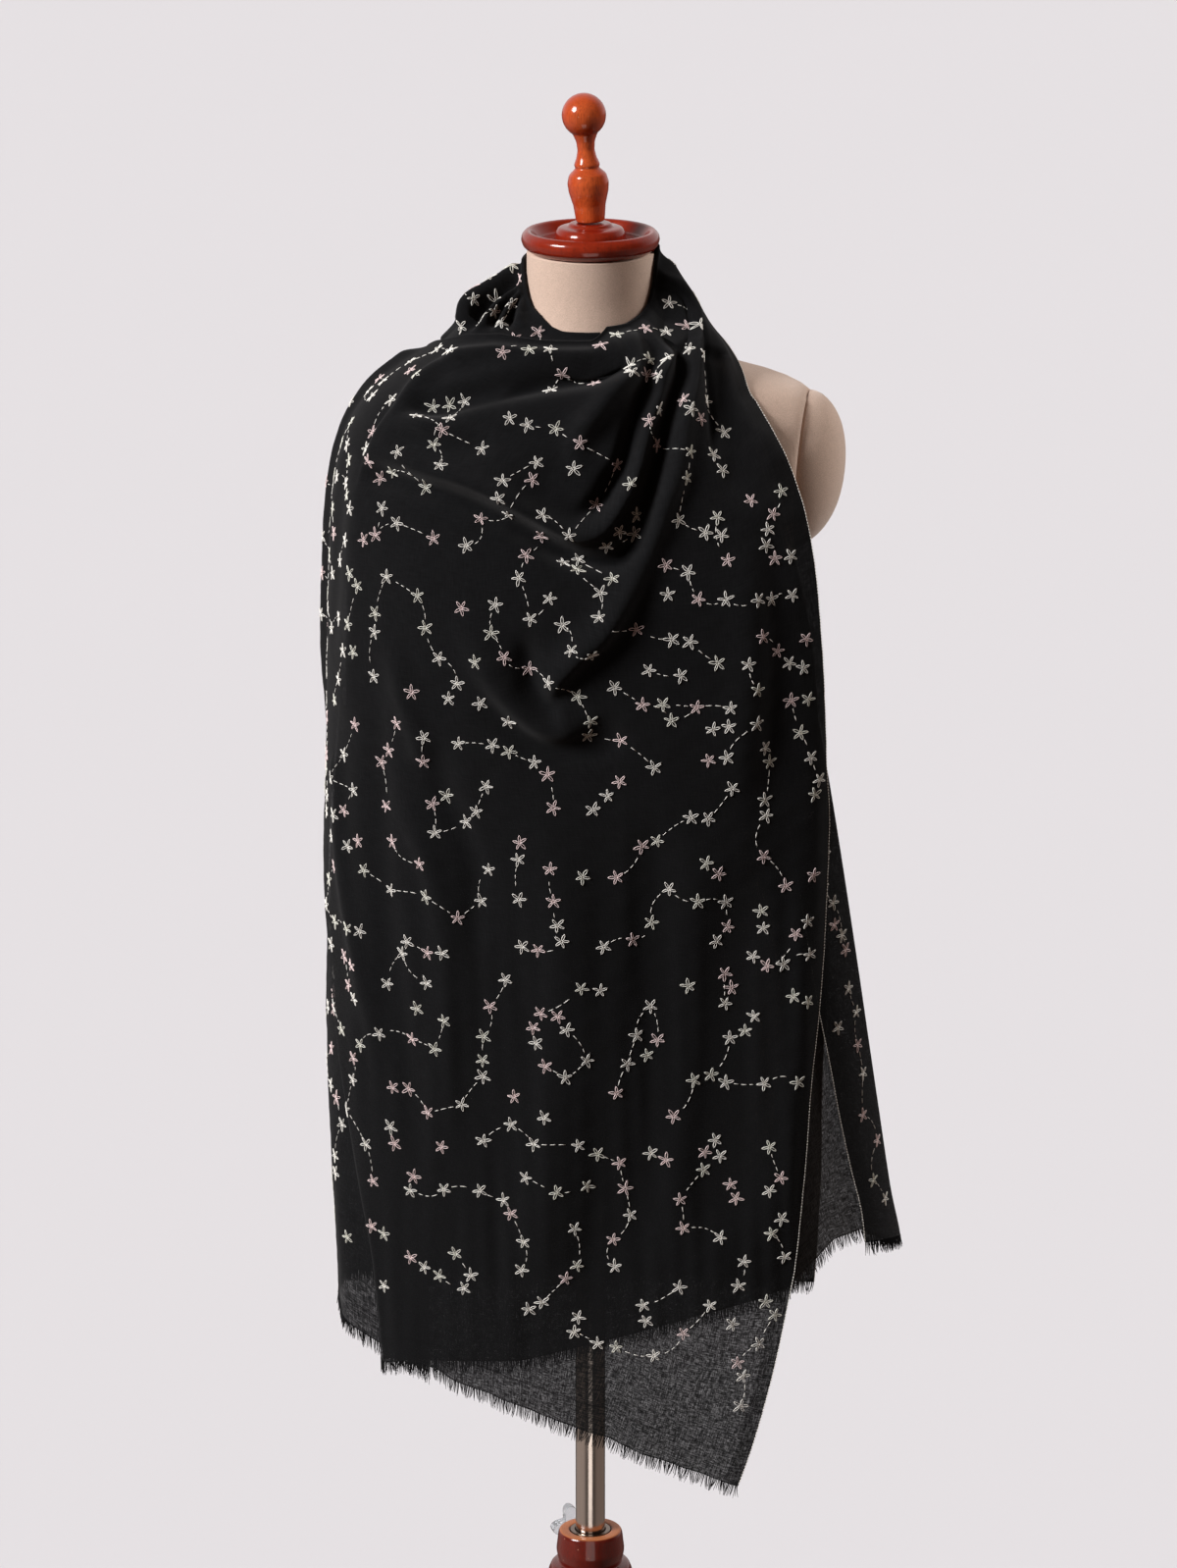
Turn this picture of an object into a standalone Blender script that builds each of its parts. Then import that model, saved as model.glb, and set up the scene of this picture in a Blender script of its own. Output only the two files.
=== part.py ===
"""A pashmina shawl draped on a limbless dress form with a turned wooden stand.

The shawl is one long cloth. One end hangs down the front, folded lengthwise at its left edge, so
that it has an outer and an inner layer. The cloth then passes behind the neck, comes round its
left side, and the other end falls over the left shoulder, down the left side and across the back.
Left and right are those of someone who faces the front, which looks along -Y. Tables are in
millimetres and degrees, and everything built is in metres, with the floor at z = 0.
"""

import math
from collections import namedtuple

import bpy
from mathutils import Vector

MM = 0.001

# ---------------------------------------------------------------- driving dimensions, in millimetres

CLOTH_WALL = 1.5  # thickness of every wall of cloth
SEAM_GAP = 0.35  # between two stretches of the cloth, and between a hem and its fringe
ROUND_SEAM_GAP = 1.0  # between the neck loop and the shoulder fall, which bend differently where they meet
REST_GAP = 0.3  # between hard pieces that touch

BASE_RADIUS = 180
COLLAR_TOP = 361  # height of the wooden cup that the pole slides in
POLE_RADIUS = 12.7
POLE_FOOT = 170  # height of the pole's lower end inside the column
FORM_BOTTOM = 693
FORM_TOP = 1480.7
CAP_BOTTOM = 1481
FINIAL_LEAN = 3.5  # degrees, to the left

FRINGE_BAND = 2.5  # height of the band that the fringe hangs from
FRINGE_LENGTH = 12

TURNED_STEPS = 28  # facets round the larger turned pieces
SMALL_STEPS = 20

# How far each layer of cloth lies inside the outermost one, in plan
OUTER_LAYER = 0
OUTER_EDGE_INSET = 4.3  # at the front fall's lengthwise fold, where its two layers meet
INNER_EDGE_INSET = OUTER_EDGE_INSET + CLOTH_WALL + SEAM_GAP
OPEN_LAYER = 1.5  # where nothing covers the shoulder fall
FLAP_LAYER = 5
INNER_LAYER = 10
SHOULDER_LAYER = 16
SHOULDER_LAYER_ON_CAP = 7.5  # over the shoulder, where the cloth is drawn tight
FOLD_SHARE = 0.04  # share of a layer's width that turns in to the lengthwise fold
INNER_COLUMNS = 24
FLAP_COLUMNS = 4  # how many of those are its turned margin
INNER_MAIN_SHARE = 1 - FLAP_COLUMNS / INNER_COLUMNS
SHOULDER_TOP = 1416  # height at which the shoulder fall's edges start
GATHER_RISE = 45  # height over which the right edge runs from the selvedge up to the gather

# ---------------------------------------------------------------- tables

# The outermost layer's cross-section at each height: half widths to the left and right, depth to
# the front and back, and the power of the superellipse.
Girth = namedtuple("Girth", "z left right front back power")
DRAPE = [
    Girth(1490, 53, 56, 56, 57, 2.00),
    Girth(1476, 60, 65, 59, 60, 2.00),
    Girth(1456, 90, 78, 65, 68, 2.05),
    Girth(1438, 112, 89, 73, 75, 2.10),
    Girth(1421, 115, 99, 84, 82, 2.15),
    Girth(1405, 128, 113, 98, 89, 2.20),
    Girth(1385, 158, 134, 110, 96, 2.25),
    Girth(1358, 187, 164, 122, 104, 2.30),
    Girth(1327, 203, 195, 134, 109, 2.40),
    Girth(1278, 213, 222, 147, 114, 2.50),
    Girth(1220, 216, 234, 156, 118, 2.55),
    Girth(1150, 218, 238, 159, 120, 2.55),
    Girth(1060, 220, 240, 158, 122, 2.50),
    Girth(950, 224, 243, 155, 124, 2.50),
    Girth(850, 225, 250, 151, 125, 2.50),
    Girth(750, 223, 258, 147, 126, 2.50),
    Girth(640, 219, 272, 142, 126, 2.50),
    Girth(560, 216, 278, 139, 125, 2.50),
    Girth(430, 212, 282, 134, 123, 2.50),
]

# The dress form. The shoulders are cut off by a leaning plane on each side.
FORM = [
    Girth(FORM_TOP, 52, 52, 52, 52, 2.0),
    Girth(1452, 52, 52, 52, 52, 2.0),
    Girth(1426, 53, 53, 54, 55, 2.0),
    Girth(1410, 62, 63, 60, 62, 2.0),
    Girth(1398, 82, 88, 66, 69, 2.1),
    Girth(1388, 104, 114, 71, 75, 2.2),
    Girth(1379, 134, 150, 76, 80, 2.3),
    Girth(1368, 160, 176, 82, 85, 2.4),
    Girth(1345, 182, 196, 91, 90, 2.5),
    Girth(1302, 188, 200, 105, 93, 2.6),
    Girth(1262, 178, 188, 115, 94, 2.6),
    Girth(1236, 163, 171, 120, 95, 2.5),
    Girth(1210, 156, 159, 122, 95, 2.4),
    Girth(1178, 146, 147, 118, 93, 2.3),
    Girth(1130, 131, 131, 103, 88, 2.2),
    Girth(1050, 118, 118, 90, 80, 2.2),
    Girth(980, 134, 134, 93, 90, 2.2),
    Girth(900, 155, 155, 98, 101, 2.3),
    Girth(840, 161, 161, 100, 105, 2.3),
    Girth(770, 158, 158, 99, 104, 2.3),
    Girth(712, 151, 151, 95, 99, 2.3),
    Girth(698, 144, 144, 90, 94, 2.3),
    Girth(FORM_BOTTOM, 132, 132, 80, 84, 2.3),
]

# Where each shoulder is cut off: the leaning plane's distance at the height SHOULDER_HEIGHT, and how
# far the domed end stands out from it
SHOULDER_HEIGHT = 1302
SHOULDER_LEAN = 0.06  # outward for each millimetre up
Shoulder = namedtuple("Shoulder", "name side cut yaw dome")  # yaw is outward for each millimetre back
SHOULDERS = [Shoulder("left_arm_cap", -1, 158, 0.04, 20), Shoulder("right_arm_cap", 1, 176, 0.15, 33)]
ARM_CAP_HALF_HEIGHT = 64
ARM_CAP_HALF_DEPTH = 59
ARM_CAP_MIDDLE_Y = -4
ARM_CAP_RINGS = (1.0, 0.97, 0.9, 0.78, 0.6, 0.4, 0.2)  # shares of the half sizes
ARM_CAP_POWER = 2.4

# Edges of the cloth. A turn is 0 at the front, 90 at the right, -90 at the left, -180 at the back.
Level = namedtuple("Level", "z turn")
FRONT_FOLD = [  # the lengthwise fold at the left of the front fall
    Level(1490, -122),
    Level(1390, -120),
    Level(1250, -116),
    Level(1100, -104),
    Level(1000, -92),
    Level(900, -79),
    Level(800, -69),
    Level(700, -60),
    Level(640, -55),
    Level(560, -53),
    Level(430, -52),
]
SHOULDER_FRONT_EDGE = [  # the selvedge of the shoulder fall, under the front fall
    Level(1440, -24),
    Level(1400, -26),
    Level(1300, -30),
    Level(1100, -33),
    Level(800, -36),
    Level(530, -38),
]
SHOULDER_BACK_EDGE = [  # its other selvedge, across the back
    Level(1440, -181),
    Level(1410, -186),
    Level(1340, -203),
    Level(1240, -219),
    Level(1100, -228),
    Level(900, -230),
    Level(700, -225),
    Level(530, -220),
]

# Edges that face the front are given by their distance from the middle
Across = namedtuple("Across", "z x")
FRONT_SELVEDGE = [  # the right edge of the front fall's outer layer, below the gather
    Across(1370, 134),
    Across(1348, 147),
    Across(1318, 163),
    Across(1285, 174),
    Across(1232, 183),
    Across(1150, 188),
    Across(1084, 190),
    Across(1029, 194),
    Across(945, 192),
    Across(875, 188),
    Across(797, 181),
    Across(739, 178),
    Across(645, 170),
    Across(628, 167),
    Across(565, 155),
    Across(497, 138),
    Across(440, 119),
]
INNER_FOLD = [
    Across(1350, 128),
    Across(1250, 158),
    Across(1150, 178),
    Across(1065, 194),
    Across(1000, 205),
    Across(930, 216),
    Across(845, 229),
    Across(760, 242),
    Across(690, 253),
    Across(640, 263),
    Across(600, 267),
]
INNER_SELVEDGE = [
    Across(1350, 100),
    Across(1150, 140),
    Across(1004, 166),
    Across(870, 188),
    Across(820, 198),
    Across(766, 208),
    Across(720, 218),
    Across(682, 227),
    Across(650, 231),
]

# Edges that run round the form: a height at each turn. hug is how far a rim is drawn in against the
# neck.
Rim = namedtuple("Rim", "turn z hug")
GATHER_TURN = 90
FRONT_RIM = [  # from the left shoulder to the right side of the neck
    Rim(-122, 1388, 0.0),
    Rim(-90, 1407, 0.0),
    Rim(-60, 1421, 0.0),
    Rim(-40, 1425, 0.0),
    Rim(-20, 1422, 0.1),
    Rim(0, 1421, 0.4),
    Rim(12, 1429, 0.9),
    Rim(32, 1430, 1.0),
    Rim(48, 1436, 1.0),
    Rim(59, 1443, 1.0),
    Rim(68, 1456, 1.0),
    Rim(75, 1472, 1.0),
    Rim(GATHER_TURN, 1486, 1.0),
]
LOOP_RIM = [  # from the gather, behind the neck and round its left side, to under the front rim
    Rim(-270, 1486, 1.0),
    Rim(-230, 1483, 1.0),
    Rim(-180, 1479, 1.0),
    Rim(-130, 1477, 1.0),
    Rim(-95, 1474, 1.0),
    Rim(-80, 1462, 1.0),
    Rim(-67, 1447, 1.0),
    Rim(-59, 1440, 1.0),
    Rim(-48, 1435, 1.0),
    Rim(-35, 1427, 1.0),
    Rim(-24, 1424, 1.0),
    Rim(8, 1424, 1.0),
]
Brink = namedtuple("Brink", "turn z")
LOOP_FOOT = [  # lower edge of the same stretch
    Brink(-270, 1397),
    Brink(-250, 1388),
    Brink(-225, 1384),
    Brink(-202, 1388),
    Brink(-188, 1412),
    Brink(-180, 1420),
    Brink(-130, 1420),
    Brink(-90, 1417),
    Brink(-60, 1408),
    Brink(-25, 1396),
    Brink(8, 1394),
]
SHOULDER_HEM = [
    Brink(-220, 552),
    Brink(-200, 548),
    Brink(-180, 545),
    Brink(-150, 552),
    Brink(-125, 566),
    Brink(-100, 588),
    Brink(-80, 582),
    Brink(-60, 562),
    Brink(-38, 545),
]
HEM_STEPS = 12  # rounds in which a hem's height is found
NECK_HUG_RADIUS = 56.5
HUG_DEPTH = 18  # a rim stands off the neck again this far below its edge

# Hems and hidden upper edges that face the front
FRONT_HEM = [
    Across(553, -175),
    Across(559, -156),
    Across(557, -131),
    Across(546, -111),
    Across(538, -84),
    Across(528, -59),
    Across(509, -13),
    Across(501, 13),
    Across(485, 45),
    Across(469, 85),
    Across(454, 122),
]
INNER_HEM = [
    Across(551, -175),
    Across(557, -156),
    Across(561, -111),
    Across(565, -59),
    Across(577, -15),
    Across(593, 45),
    Across(604, 84),
    Across(617, 138),
    Across(625, 164),
    Across(643, 184),
    Across(662, 204),
    Across(665, 227),
    Across(640, 263),
]
FLAP_HEM_AT_SELVEDGE = 655
InnerRim = namedtuple("InnerRim", "share z")  # share of the way from the lengthwise fold to the turned margin
INNER_RIM = [
    InnerRim(0, 1110),
    InnerRim(0.67, 1120),
    InnerRim(0.8, 1180),
    InnerRim(0.9, 1290),
    InnerRim(1, 1335),
]

# Folds of the front fall: points on the crest as (x, z), then its half width and how far it stands
# proud. A negative height is a valley.
Fold = namedtuple("Fold", "name crest half_width height")
FRONT_FOLDS = [
    Fold("shoulder ridge", [(-146, 1390), (-85, 1409), (-45, 1412), (0, 1408)], 14, 7),
    Fold("first valley", [(-118, 1366), (-88, 1388), (-50, 1392), (0, 1388), (30, 1400)], 13, -9),
    Fold("soft loop", [(-150, 1384), (-139, 1367), (-118, 1358), (-85, 1352), (-45, 1350)], 13, 7),
    Fold("roll", [(-176, 1338), (-127, 1328), (-80, 1312), (-45, 1300), (-10, 1293), (20, 1300)], 22, 14),
    Fold("undercut", [(-165, 1312), (-102, 1291), (-62, 1270), (-20, 1256), (18, 1246)], 17, -8),
    Fold("deep valley", [(46, 1412), (30, 1375), (10, 1335), (-2, 1300)], 14, -9),
    Fold("left gather ridge", [(56, 1462), (34, 1420), (8, 1380), (-20, 1352)], 11, 7),
    Fold("middle gather ridge", [(66, 1452), (56, 1400), (46, 1361), (34, 1325), (14, 1296)], 11, 9),
    Fold(
        "right gather ridge",
        [(82, 1425), (74, 1377), (66, 1329), (50, 1285), (33, 1245), (12, 1204)],
        14,
        14,
    ),
    Fold("outer gather ridge", [(100, 1405), (104, 1350), (100, 1290), (88, 1220)], 13, 7),
    Fold(
        "low roll",
        [(-122, 1262), (-102, 1204), (-80, 1168), (-45, 1126), (-18, 1116), (10, 1150), (30, 1212)],
        20,
        15,
    ),
    Fold("low valley", [(-84, 1236), (-64, 1192), (-40, 1166), (-15, 1172), (4, 1205)], 17, -11),
    Fold("left hang", [(-196, 1190), (-192, 1000), (-180, 800)], 20, -6),
    Fold("pleat", [(-128, 1130), (-118, 1060), (-96, 985), (-92, 860)], 13, -6),
    Fold("middle hang", [(-30, 1060), (-22, 900), (-34, 700)], 30, 6),
    Fold("right hang", [(120, 1180), (112, 950), (104, 720)], 26, -7),
    Fold("selvedge hang", [(168, 1200), (164, 950), (150, 700)], 16, 6),
]

# Soft upright waves of the cloth that hangs free: waves in a full turn, depth, and phase in degrees
Wave = namedtuple("Wave", "count depth phase")
BACK_WAVES = [Wave(9, 6.0, 20), Wave(17, 2.5, 75)]
LOOP_WAVES = [Wave(7, 3.5, 10), Wave(16, 1.5, 60)]
WAVE_TOP = 1330  # waves start at this height and reach their full depth at WAVE_FULL
WAVE_FULL = 1000
COVER_BAND = 22  # degrees over which a covered layer steps in under the one that covers it

# Turned profiles: radius and height down the outer side, from the top
BASE_PROFILE = [
    (0, 62),
    (31, 62),
    (40, 50),
    (54, 42),
    (95, 35),
    (150, 30),
    (173, 26),
    (BASE_RADIUS, 16),
    (BASE_RADIUS, 0),
    (0, 0),
]
BORE_RADIUS = 13.6
BORE_FOOT = 67
SLEEVE_INNER = 13.5
SLEEVE_OUTER = 17.4
SLEEVE_BOTTOM = 300
COLUMN_PROFILE = [
    (0, BORE_FOOT),
    (BORE_RADIUS, BORE_FOOT),
    (BORE_RADIUS, SLEEVE_BOTTOM - REST_GAP),
    (SLEEVE_OUTER + REST_GAP, SLEEVE_BOTTOM - REST_GAP),
    (SLEEVE_OUTER + REST_GAP, COLLAR_TOP),
    (26.2, COLLAR_TOP),
    (27.6, 358.5),
    (29.4, 343),
    (27.6, 333),
    (27.2, 331.5),
    (33.5, 330),
    (36.5, 322.5),
    (33.5, 315),
    (27, 312),
    (22, 300),
    (20, 262),
    (27, 215),
    (29, 170),
    (23.5, 118),
    (22, 102),
    (31, 96),
    (34, 88),
    (31, 80),
    (24, 76),
    (29, 62 + REST_GAP),
    (0, 62 + REST_GAP),
]
CAP_TOP = 1505.2
CAP_PROFILE = [
    (0, CAP_TOP),
    (14, CAP_TOP),
    (19, 1504.2),
    (24, 1502.5),
    (28.5, 1499.5),
    (29.5, 1495.5),
    (29.3, 1491),
    (43.5, 1490.5),
    (46.5, 1495),
    (49, 1498.8),
    (52.5, 1499.2),
    (55.8, 1495.5),
    (56.6, 1491.5),
    (55, 1486.5),
    (50.5, 1482.5),
    (46, CAP_BOTTOM),
    (0, CAP_BOTTOM),
]
FINIAL_BOTTOM = 1506.2
FINIAL_PROFILE = [  # from the neck of the ball down
    (9.8, 1577.5),
    (7.6, 1572),
    (6.9, 1565),
    (8.2, 1559),
    (10.6, 1553),
    (9.6, 1550.4),
    (11.4, 1548.6),
    (15.2, 1545),
    (16.9, 1538),
    (16.2, 1531),
    (13.2, 1520),
    (12.2, 1511),
    (11.5, FINIAL_BOTTOM),
    (0, FINIAL_BOTTOM),
]
BALL_RADIUS = 18
BALL_CENTRE = 1593.4
BALL_ARC = (90, 68, 44, 20, -4, -28, -50)  # degrees above the ball's middle
FLANGE_RADIUS = 42
FLANGE_THICKNESS = 6
POLE_TOP = FORM_BOTTOM - REST_GAP
POLE_PROFILE = [
    (0, POLE_TOP),
    (FLANGE_RADIUS, POLE_TOP),
    (FLANGE_RADIUS, POLE_TOP - FLANGE_THICKNESS),
    (18, POLE_TOP - FLANGE_THICKNESS - 2),
    (POLE_RADIUS, POLE_TOP - FLANGE_THICKNESS - 12),
    (POLE_RADIUS, POLE_FOOT + 1.5),
    (POLE_RADIUS - 1.5, POLE_FOOT),
    (0, POLE_FOOT),
]

# The clamp: a star knob on a screw that presses on the pole through the cup and its sleeve
CLAMP_HEIGHT = 346
CLAMP_TURN = 198  # degrees from the front, so that the screw enters from behind, a little to the left
SCREW_RADIUS = 4
SCREW_TIP = POLE_RADIUS + REST_GAP
KNOB_START = 38.5  # distance of the knob's near face from the pole's axis
KNOB_THICKNESS = 10
KNOB_RADIUS = 21
KNOB_WAIST = 11.5
KNOB_ARMS = 5
KNOB_STEPS = 8  # outline points to an arm


# ---------------------------------------------------------------- reading the tables


def smooth_between(rows, height, field):
    """A field of a table whose rows fall in z, read along a curve through the rows."""
    values = [getattr(row, field) for row in rows]
    heights = [row.z for row in rows]
    if height >= heights[0]:
        return values[0]
    if height <= heights[-1]:
        return values[-1]
    low = next(i for i, z in enumerate(heights) if z <= height)
    high = low - 1

    def slope(i):
        """Slope of the curve at row i, flat where the values turn back."""
        if i in (0, len(rows) - 1):
            near = 1 if i == 0 else i - 1
            return (values[near] - values[i]) / (heights[near] - heights[i])
        before = (values[i] - values[i - 1]) / (heights[i] - heights[i - 1])
        after = (values[i + 1] - values[i]) / (heights[i + 1] - heights[i])
        return 2 * before * after / (before + after) if before * after > 0 else 0.0

    span = heights[high] - heights[low]
    t = (height - heights[low]) / span
    return (
        values[low] * (1 + 2 * t) * (1 - t) ** 2
        + values[high] * t * t * (3 - 2 * t)
        + slope(low) * span * t * (1 - t) ** 2
        + slope(high) * span * t * t * (t - 1)
    )


def straight_between(rows, key, place, field):
    """A field of a table whose rows rise in key, read along straight lines between the rows."""
    if place <= getattr(rows[0], key):
        return getattr(rows[0], field)
    for before, after in zip(rows, rows[1:]):
        if place <= getattr(after, key):
            span = getattr(after, key) - getattr(before, key)
            share = (place - getattr(before, key)) / span
            return getattr(before, field) + share * (getattr(after, field) - getattr(before, field))
    return getattr(rows[-1], field)


def ease(t):
    """0 below 0, 1 above 1, and a smooth step between."""
    t = min(1.0, max(0.0, t))
    return t * t * (3 - 2 * t)


def section_point(rows, turn, z, inset=0.0):
    """Point of a table's cross-section at a turn in degrees and a height, drawn in by inset."""
    power = smooth_between(rows, z, "power")
    angle = math.radians(turn)
    sine, cosine = math.sin(angle), math.cos(angle)
    width = smooth_between(rows, z, "right" if sine > 0 else "left") - inset
    depth = smooth_between(rows, z, "front" if cosine > 0 else "back") - inset
    x = math.copysign(width * abs(sine) ** (2 / power), sine)
    y = -math.copysign(depth * abs(cosine) ** (2 / power), cosine)
    return Vector((x, y, z))


def turn_at(x, z, inset=0.0):
    """Turn, on the front half, of the drape's point that lies x from the middle."""
    width = smooth_between(DRAPE, z, "right" if x > 0 else "left") - inset
    power = smooth_between(DRAPE, z, "power")
    share = min(1.0, abs(x) / width)
    return math.copysign(math.degrees(math.asin(share ** (power / 2))), x)


def outward(turn, z):
    """Unit vector in plan, square to the drape's cross-section."""
    step = 1.0
    ahead = section_point(DRAPE, turn + step, z)
    behind = section_point(DRAPE, turn - step, z)
    along = ahead - behind
    return Vector((-along.y, along.x, 0)).normalized() * -1


# ---------------------------------------------------------------- the cloth's form


def curve_through(points, steps=6):
    """Points of a smooth plane curve through the given ones."""
    ends = [points[0], *points, points[-1]]
    out = []
    for p0, p1, p2, p3 in zip(ends, ends[1:], ends[2:], ends[3:]):
        for i in range(steps):
            t = i / steps
            weights = (
                -0.5 * t + t * t - 0.5 * t**3,
                1 - 2.5 * t * t + 1.5 * t**3,
                0.5 * t + 2 * t * t - 1.5 * t**3,
                -0.5 * t * t + 0.5 * t**3,
            )
            out.append(tuple(sum(w * p[k] for w, p in zip(weights, (p0, p1, p2, p3))) for k in (0, 1)))
    out.append(tuple(points[-1]))
    return out


FOLD_LINES = [(fold, curve_through(fold.crest)) for fold in FRONT_FOLDS]


def fold_height(x, z):
    """How far the folds of the front fall stand proud at a point seen from the front."""
    total = 0.0
    for fold, line in FOLD_LINES:
        reach = 2.6 * fold.half_width
        best, where = reach, 0
        for i, (a, b) in enumerate(zip(line, line[1:])):
            dx, dz = b[0] - a[0], b[1] - a[1]
            length = dx * dx + dz * dz
            t = min(1.0, max(0.0, ((x - a[0]) * dx + (z - a[1]) * dz) / length))
            distance = math.hypot(x - a[0] - t * dx, z - a[1] - t * dz)
            if distance < best:
                best, where = distance, (i + t) / (len(line) - 1)
        if best < reach:
            ends = ease(where / 0.25) * ease((1 - where) / 0.25)
            total += fold.height * (0.25 + 0.75 * ends) * math.exp(-((best / fold.half_width) ** 2))
    return total


def wave_height(waves, turn, z):
    """Soft upright waves at a turn, growing downward."""
    grown = ease((WAVE_TOP - z) / (WAVE_TOP - WAVE_FULL))
    return grown * sum(w.depth * math.sin(math.radians(w.count * turn + w.phase)) for w in waves)


def hugged(point, turn, hug, below_rim):
    """Draws a point in against the neck, fully at the rim and not at all HUG_DEPTH below it."""
    share = hug * (1 - ease(below_rim / HUG_DEPTH))
    angle = math.radians(turn)
    neck = Vector((NECK_HUG_RADIUS * math.sin(angle), -NECK_HUG_RADIUS * math.cos(angle), point.z))
    return point.lerp(neck, share)


def edge_turn(rows, z, inset=0.0):
    """Turn of an edge that faces the front, from its distance across at a height."""
    return turn_at(smooth_between(rows, z, "x"), z, inset)


def fall_turn(z, share, right_turn):
    """Turn a share of the way from the front fall's lengthwise fold to its right edge."""
    left = smooth_between(FRONT_FOLD, z, "turn")
    return left + (right_turn(z) - left) * share


def hem_height(rows, share, right_turn, inset):
    """Height at which a hem that faces the front crosses a line of equal share."""
    z = rows[0].z
    for _ in range(HEM_STEPS):
        x = section_point(DRAPE, fall_turn(z, share, right_turn), z, inset).x
        z = straight_between(rows, "x", x, "z")
    return z


def front_right_turn(z):
    """Turn of the outer layer's right edge: the gather over the shoulder, then the selvedge."""
    top = FRONT_SELVEDGE[0].z
    low = edge_turn(FRONT_SELVEDGE, min(z, top))
    return low + (GATHER_TURN - low) * ease((z - top) / GATHER_RISE)


def front_outer_point(u, v):
    """The front fall's outer layer: u runs from its fold to its selvedge, v from its rim to its hem."""
    start = FRONT_RIM[0].turn
    rim_turn = start + (GATHER_TURN - start) * u
    rim = straight_between(FRONT_RIM, "turn", rim_turn, "z")
    hug = straight_between(FRONT_RIM, "turn", rim_turn, "hug")
    hem = hem_height(FRONT_HEM, u, front_right_turn, OUTER_LAYER)
    z = rim + (hem - rim) * (0.45 * v + 0.55 * v * v)
    turn = fall_turn(z, u, front_right_turn)
    doubled = ease((INNER_RIM[0].z + 60 - z) / 60)
    point = section_point(DRAPE, turn, z, OUTER_LAYER + OUTER_EDGE_INSET * doubled * (1 - ease(u / FOLD_SHARE)))
    fade = ease(u / 0.08) * ease((1 - u) / 0.04) * ease(v / 0.03)
    facing = ease((40 - point.y) / 60)
    point += outward(turn, z) * fade * facing * fold_height(point.x, z)
    point = hugged(point, turn, hug, rim - z)
    if u == 1 and turn == GATHER_TURN:
        point.y = -SEAM_GAP / 2
    return point


def inner_fold_turn(z):
    """Turn of the edge at which the inner layer's margin is turned forward."""
    return edge_turn(INNER_FOLD, z, FLAP_LAYER)


def inner_point(u, v):
    """The front fall's inner layer, with the margin at its right turned forward on itself."""
    share = min(1.0, u / INNER_MAIN_SHARE)
    column = max(0.0, u - INNER_MAIN_SHARE) * INNER_COLUMNS
    turned = min(1.0, column)
    flap = max(0.0, (column - 1) / (FLAP_COLUMNS - 1))
    hem = hem_height(INNER_HEM, share, inner_fold_turn, INNER_LAYER)
    hem += (FLAP_HEM_AT_SELVEDGE - hem) * flap
    rim = straight_between(INNER_RIM, "share", share, "z")
    z = rim + (hem - rim) * v
    selvedge = edge_turn(INNER_SELVEDGE, z, FLAP_LAYER)
    turn = fall_turn(z, share, inner_fold_turn)
    turn += (selvedge - turn) * flap
    inset = INNER_LAYER - (INNER_LAYER - INNER_EDGE_INSET) * (1 - ease(share / FOLD_SHARE))
    inset += (FLAP_LAYER - INNER_LAYER) * turned
    return section_point(DRAPE, turn, z, inset)


def shoulder_inset(turn, z):
    """How far the shoulder fall lies inside the drape: deep under the front fall, less elsewhere."""
    covered = ease((turn - smooth_between(FRONT_FOLD, z, "turn") + COVER_BAND) / COVER_BAND)
    on_cap = ease((z - 1180) / 100) * ease((-turn - 40) / 35)
    deep = SHOULDER_LAYER + (SHOULDER_LAYER_ON_CAP - SHOULDER_LAYER) * on_cap
    return OPEN_LAYER + (deep - OPEN_LAYER) * covered


def shoulder_point(u, v):
    """The other end of the shawl: u runs from its front selvedge round the left side to the back."""
    hem_turn = SHOULDER_HEM[-1].turn + (SHOULDER_HEM[0].turn - SHOULDER_HEM[-1].turn) * u
    hem = straight_between(SHOULDER_HEM, "turn", hem_turn, "z")
    first = smooth_between(SHOULDER_FRONT_EDGE, SHOULDER_TOP, "turn")
    last = smooth_between(SHOULDER_BACK_EDGE, SHOULDER_TOP, "turn")
    top = straight_between(LOOP_FOOT, "turn", first + (last - first) * u, "z") - ROUND_SEAM_GAP
    z = top + (hem - top) * (0.5 * v + 0.5 * v * v)
    front = smooth_between(SHOULDER_FRONT_EDGE, z, "turn")
    back = smooth_between(SHOULDER_BACK_EDGE, z, "turn")
    turn = front + (back - front) * u
    point = section_point(DRAPE, turn, z, shoulder_inset(turn, z))
    free = ease((-turn - 95) / 30)
    return point + outward(turn, z) * free * wave_height(BACK_WAVES, turn, z)


def loop_point(u, v):
    """The stretch round the neck: u runs from under the front rim, left and behind, to the gather."""
    turn = LOOP_RIM[-1].turn + (LOOP_RIM[0].turn - LOOP_RIM[-1].turn) * u
    rim = straight_between(LOOP_RIM, "turn", turn, "z")
    foot = straight_between(LOOP_FOOT, "turn", turn, "z")
    z = rim + (foot - rim) * v
    inset = shoulder_inset(turn, foot) * (1 - ease((-turn - 200) / 60))
    point = section_point(DRAPE, turn, z, inset)
    front_rim = straight_between(FRONT_RIM, "turn", turn, "z")
    seen = ease((z - front_rim) / 15) if turn > FRONT_RIM[0].turn else 1.0
    wave = sum(w.depth * math.sin(math.radians(w.count * turn + w.phase)) for w in LOOP_WAVES)
    point += outward(turn, z) * seen * math.sin(math.pi * v) * wave
    point = hugged(point, turn, 1.0, rim - z)
    if u == 1:
        point.y = SEAM_GAP / 2
    return point


# ---------------------------------------------------------------- building


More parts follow.
